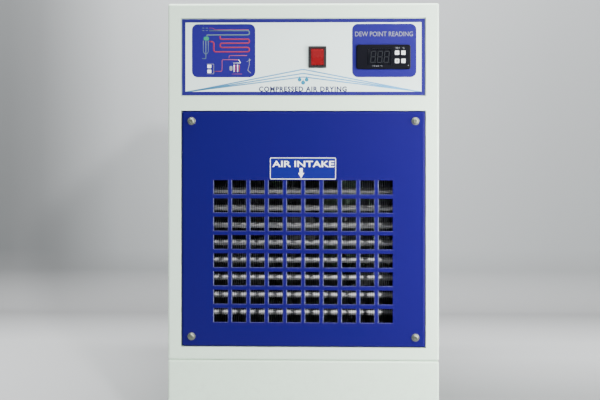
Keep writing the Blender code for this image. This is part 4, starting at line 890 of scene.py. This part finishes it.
sheet = grilleLow.y
notice = {"left": -0.0471, "right": 0.0467, "low": 0.3900, "high": 0.4213, "line": 0.0008,
          "words": "AIR INTAKE", "wordLow": 0.4078, "wordHigh": 0.4165, "ink": 0.0001,
          "stem": (-0.0050, -0.0006, 0.3985, 0.4063), "tip": (-0.0028, 0.3968), "tipSize": 0.0049}
back = card("label_field", notice["left"], notice["right"], notice["low"] + 0.0001, notice["high"],
            sheet, sheet - 0.00012, 0.0016, 4)
dress(back, "labelInk")
rim = ring("label_line", notice["left"] + 0.0002, notice["right"] - 0.0002, notice["low"] + 0.0003,
           notice["high"] - 0.0002, sheet - 0.0001, sheet - 0.00018, notice["line"], 0.0015)
dress(rim, "whiteInk")
inkBack = sheet - notice["ink"]
inkFront = inkBack - notice["ink"]
words = letters("label_words", notice["words"], notice["left"] + 0.0034, notice["right"] - 0.0024,
                notice["wordLow"], notice["wordHigh"], inkBack, inkFront, 0.016)
dress(words, "whiteInk")
arrowStem = card("arrow_stem", *notice["stem"], inkBack, inkFront)
tipX, tipZ = notice["tip"]
clearPick()
bpy.ops.mesh.primitive_circle_add(vertices=3, radius=notice["tipSize"], fill_type="NGON",
                                  location=(tipX, inkBack, tipZ), rotation=(math.pi / 2, 0, 0))
arrowHead = bpy.context.object
arrowHead.rotation_euler = (-math.pi / 2, 0, 0)
settle(arrowHead)
edit(arrowHead)
push((0, -notice["ink"], 0))
tidyMesh(arrowHead)
arrow = joinUp("label_arrow", [arrowStem, arrowHead])
dress(arrow, "whiteInk")
print("label done")


# Button-head screws and washers that hold the grille

buttonScrew = {"washer": 0.0056, "washerThick": 0.0009, "head": 0.0045, "height": 0.0026,
               "socket": 0.0024, "socketDepth": 0.0019, "bore": 0.0026, "shank": 0.0023,
               "reach": 0.006, "turn": 0.35}


def makeButtonScrew(name, centre):
    thick, head, height = buttonScrew["washerThick"], buttonScrew["head"], buttonScrew["height"]
    washer, bore, shank = buttonScrew["washer"], buttonScrew["bore"], buttonScrew["shank"]
    plateDisc = lathe(name + "_washer", [
        (bore, 0.0), (washer - 0.0004, 0.0), (washer, 0.0003), (washer, thick - 0.0002),
        (washer - 0.0003, thick), (bore, thick), (bore, 0.0)], centre, "-Y", 40)
    deep = buttonScrew["reach"]
    dome = [(0.0, -deep), (shank, -deep), (shank, thick * 0.5), (head - 0.0001, thick * 0.9),
            (head, thick + 0.0004), (head * 0.96, thick + height * 0.40),
            (head * 0.83, thick + height * 0.70), (head * 0.62, thick + height * 0.90),
            (head * 0.45, thick + height), (0.0, thick + height)]
    button = lathe(name + "_head", dome, centre, "-Y", 40)
    clearPick()
    bpy.ops.mesh.primitive_cylinder_add(vertices=6, radius=buttonScrew["socket"],
                                        depth=buttonScrew["socketDepth"] * 2,
                                        location=centre - Vector((0, thick + height, 0)),
                                        rotation=(math.pi / 2, buttonScrew["turn"], 0))
    socket = bpy.context.object
    settle(socket)
    carve(button, socket)
    piece = joinUp(name, [button, plateDisc])
    smooth(piece, 30)
    return piece


firstScrew = None
for place in ("upper_left", "upper_right", "lower_left", "lower_right"):
    low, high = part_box("grille_screw_" + place)
    centre = Vector(((low.x + high.x) / 2, sheet, (low.z + high.z) / 2))
    if firstScrew is None:
        firstCentre = centre
        firstScrew = makeButtonScrew("button_screw_" + place, centre)
        screw = firstScrew
    else:
        screw = copyAt(firstScrew, "button_screw_" + place, centre - firstCentre)
    dress(screw, "zinc")
    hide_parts("grille_screw_" + place)
print("grille screws done")


# Condenser fins: thin upright sheets, notched at each tube so the tubes catch the light

finStack = {"pitch": 0.0032, "thick": 0.0003, "steps": 96, "perTube": 8, "backNotch": 0.5,
            "notch": (0.0, 0.0015, 0.0060, 0.0092, 0.0098)}
packLow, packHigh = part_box("condenser_fin_pack")


def isUpright(piece, edge):
    low, high = endsOf(piece, edge)
    return abs(high.z - low.z) > 0.001


def makeFin(x):
    piece = bar("fin", (x - finStack["thick"] / 2, packLow.y, packLow.z),
                (x + finStack["thick"] / 2, packHigh.y, packHigh.z))
    pickParts(piece, "EDGE", lambda edge: isUpright(piece, edge))
    bpy.ops.mesh.subdivide(number_cuts=finStack["steps"] - 1)
    bpy.ops.object.mode_set(mode="OBJECT")
    run = (packHigh.z - packLow.z) / finStack["steps"]
    middleY = (packLow.y + packHigh.y) / 2
    half = finStack["perTube"] // 2

    def nearness(vertex):               # 0 between two tubes, half beside a tube
        step = round((vertex.co.z - packLow.z) / run) % finStack["perTube"]
        return half - abs(step - half)

    for front in (True, False):
        for level in range(1, half + 1):
            pickParts(piece, "VERT", lambda vertex: nearness(vertex) == level
                      and (vertex.co.y < middleY) == front)
            depth = finStack["notch"][level] * (1.0 if front else -finStack["backNotch"])
            bpy.ops.transform.translate(value=(0, depth, 0))
            bpy.ops.object.mode_set(mode="OBJECT")
    return piece


fin = makeFin(packLow.x + 0.001)
stack = fin.modifiers.new("Stack", "ARRAY")
stack.use_relative_offset = False
stack.use_constant_offset = True
stack.constant_offset_displace = (finStack["pitch"], 0, 0)
stack.count = int((packHigh.x - packLow.x - 0.003) / finStack["pitch"]) + 1
print("condenser fins:", stack.count)
pick(fin)
bpy.ops.object.modifier_apply(modifier="Stack")
fin.name = "condenser_fins"
dress(fin, "fins")
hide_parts("condenser_fin_pack")


# Louvre lips inside the side panels' slots

louvre = {"slot": 0.005, "thick": 0.0012, "wall": 0.0016, "fromRear": (0.21, 0.06),
          "steps": ((0.0022, -0.0004), (0.0022, -0.0015), (0.0022, -0.0026), (0.0015, -0.0026))}
slotY = tuple(rearFace - reach for reach in louvre["fromRear"])


def slotRows(node):                     # heights of the slots, read from the panel's own mesh
    side = nodes[node].data
    rows = set()
    for vertex in side.vertices:
        if slotY[0] + 0.01 < vertex.co.y < slotY[1] + 0.001 and 0.05 < vertex.co.z < 0.6:
            rows.add(round(vertex.co.z, 4))
    rows = sorted(rows)
    pairs = [(a, b) for a, b in zip(rows, rows[1:]) if abs(b - a - louvre["slot"]) < 0.0003]
    return pairs


for label, side in (("left", -1), ("right", 1)):
    node = label + "_side_panel"
    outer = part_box(node)[0].x if side < 0 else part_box(node)[1].x
    inner = outer - side * louvre["wall"]
    pairs = slotRows(node)
    lips = []
    for high in [pair[1] for pair in pairs[:1]]:
        clearPick()
        bpy.ops.mesh.primitive_plane_add(size=1, location=(inner, sum(slotY) / 2, high))
        lip = bpy.context.object
        lip.scale = (0.0004, slotY[1] - slotY[0] - 0.002, 1)
        settle(lip)
        pickParts(lip, "EDGE", lambda edge: all((end.x - inner) * -side > 0 for end in endsOf(lip, edge)))
        for step, drop in louvre["steps"]:
            push((-side * step, 0, drop))
        bpy.ops.object.mode_set(mode="OBJECT")
        wall = lip.modifiers.new("Wall", "SOLIDIFY")
        wall.thickness = louvre["thick"]
        wall.offset = 0
        pick(lip)
        bpy.ops.object.modifier_apply(modifier="Wall")
        tidyMesh(lip)
        lips.append(lip)
        for count, pair in enumerate(pairs[1:]):
            lips.append(copyAt(lip, "lip_%d" % count, (0, 0, pair[1] - high)))
    if lips:
        louvres = joinUp(label + "_louvre_lips", lips)
        smooth(louvres, 40)
        dress(louvres, "cabinet")
    print(label, "louvres:", len(pairs))


# Pan-head screws on the rear panel

panScrew = {"radius": 0.0040, "height": 0.0024, "slot": 0.0009, "inset": 0.010}


def makePanScrew(name, centre):
    radius, height = panScrew["radius"], panScrew["height"]
    profile = [(0, -0.0008), (radius, -0.0008), (radius, height * 0.30), (radius * 0.93, height * 0.62),
               (radius * 0.72, height * 0.88), (radius * 0.4, height), (0, height)]
    head = lathe(name, profile, (0, 0, 0), "Z", 28)
    arm, halfSlot = radius * 0.62, panScrew["slot"] / 2
    for size in ((arm, halfSlot), (halfSlot, arm)):
        cross = bar("cross", (-size[0], -size[1], height * 0.35), (size[0], size[1], height * 1.4))
        carve(head, cross)
    head.rotation_euler = (-math.pi / 2, 0, 0)
    head.location = centre
    settle(head)
    smooth(head, 30)
    return head


rearLow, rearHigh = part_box("rear_panel")
inset = panScrew["inset"]
edgesX = (rearLow.x + inset, rearHigh.x - inset)
spots = [(x, z) for x in (*edgesX, 0.0) for z in (rearLow.z + inset, rearHigh.z - inset)]
spots += [(x, z) for x in edgesX for z in (0.235, 0.43)]
firstPan = makePanScrew("rear_screw_0", Vector((spots[0][0], rearFace, spots[0][1])))
rearScrews = [firstPan]
for count, (x, z) in enumerate(spots[1:]):
    step = (x - spots[0][0], 0, z - spots[0][1])
    rearScrews.append(copyAt(firstPan, "rear_screw_%d" % (count + 1), step))
for screw in rearScrews:
    dress(screw, "zinc")
print("rear screws done")


# Studio: a paper floor and wall, soft lights and the camera

studio = {"wallY": 0.80, "cove": 0.09, "frontY": -3.2, "half": 4.5, "wallTop": 2.6}
clearPick()
middleY = (studio["wallY"] + studio["frontY"]) / 2
bpy.ops.mesh.primitive_plane_add(size=1, location=(0, middleY, 0))
sweep = bpy.context.object
sweep.name = "paper_sweep"
sweep.scale = (studio["half"] * 2, studio["wallY"] - studio["frontY"], 1)
settle(sweep)


def isFold(edge):                       # the floor's back edge, where the wall starts
    return all(end.y > studio["wallY"] - 0.01 and end.z < 0.01 for end in endsOf(sweep, edge))


pickParts(sweep, "EDGE", isFold)
push((0, 0, studio["wallTop"]))
bpy.ops.object.mode_set(mode="OBJECT")
pickParts(sweep, "EDGE", isFold)
bpy.ops.mesh.bevel(offset=studio["cove"], segments=16, affect="EDGES")
bpy.ops.object.mode_set(mode="OBJECT")
smooth(sweep, 60)
sweep.data.materials.append(floorFinish())

lamps = {
    "key_right": {"place": (0.50, -0.50, 0.42), "aim": (0.0, -0.25, 0.40), "size": 0.2, "tall": 0.62,
                  "power": 10.5, "tone": (1.0, 0.995, 0.98)},
    "front_flash": {"place": (0.95, -2.65, 1.62), "aim": (0, 0, 0.30), "size": 0.20, "tall": 0.20,
                    "power": 110.0, "tone": (1, 1, 1)},
    "left_fill": {"place": (-2.2, -1.6, 1.5), "aim": (0, 0, 0.30), "size": 1.2, "tall": 1.2,
                  "power": 6.0, "tone": (1.0, 1.0, 1.0)},
    "wall_wash": {"place": (0.0, -0.25, 2.2), "aim": (0, 0.8, 0.45), "size": 1.8, "tall": 0.5,
                  "power": 190.0, "tone": (1, 1, 1)},
    "top_panel": {"place": (0.1, -0.1, 2.4), "aim": (0, 0.1, 0), "size": 2.0, "tall": 1.6,
                  "power": 8.0, "tone": (1, 1, 1)},
}
for lampName, lamp in lamps.items():
    clearPick()
    bpy.ops.object.light_add(type="AREA", location=lamp["place"])
    light = bpy.context.object
    light.name = lampName
    light.data.shape = "RECTANGLE"
    light.data.size = lamp["size"]
    light.data.size_y = lamp["tall"]
    light.data.energy = lamp["power"]
    light.data.color = lamp["tone"]
    light.visible_camera = False
    away = Vector(lamp["aim"]) - Vector(lamp["place"])
    light.rotation_euler = away.to_track_quat("-Z", "Y").to_euler()

world = bpy.data.worlds.new("studio_air")
bpy.context.scene.world = world
world.use_nodes = True
world.node_tree.nodes["Background"].inputs["Color"].default_value = (0.95, 0.97, 1.0, 1.0)
world.node_tree.nodes["Background"].inputs["Strength"].default_value = 0.15

shot = {"distance": 1.40, "turn": 1.5, "eye": 0.493, "aimX": -0.0044, "width": 0.852, "down": 0.155}
turn = math.radians(shot["turn"])
stand = grilleLow.y - shot["distance"] * math.cos(turn)
clearPick()
bpy.ops.object.camera_add(location=(shot["aimX"] + shot["distance"] * math.sin(turn), stand, shot["eye"]),
                          rotation=(math.pi / 2, 0, turn))
camera = bpy.context.object
camera.data.sensor_width = 36
camera.data.lens = 36 * shot["distance"] / shot["width"]
camera.data.shift_y = -shot["down"]
bpy.context.scene.camera = camera
print("studio ready")
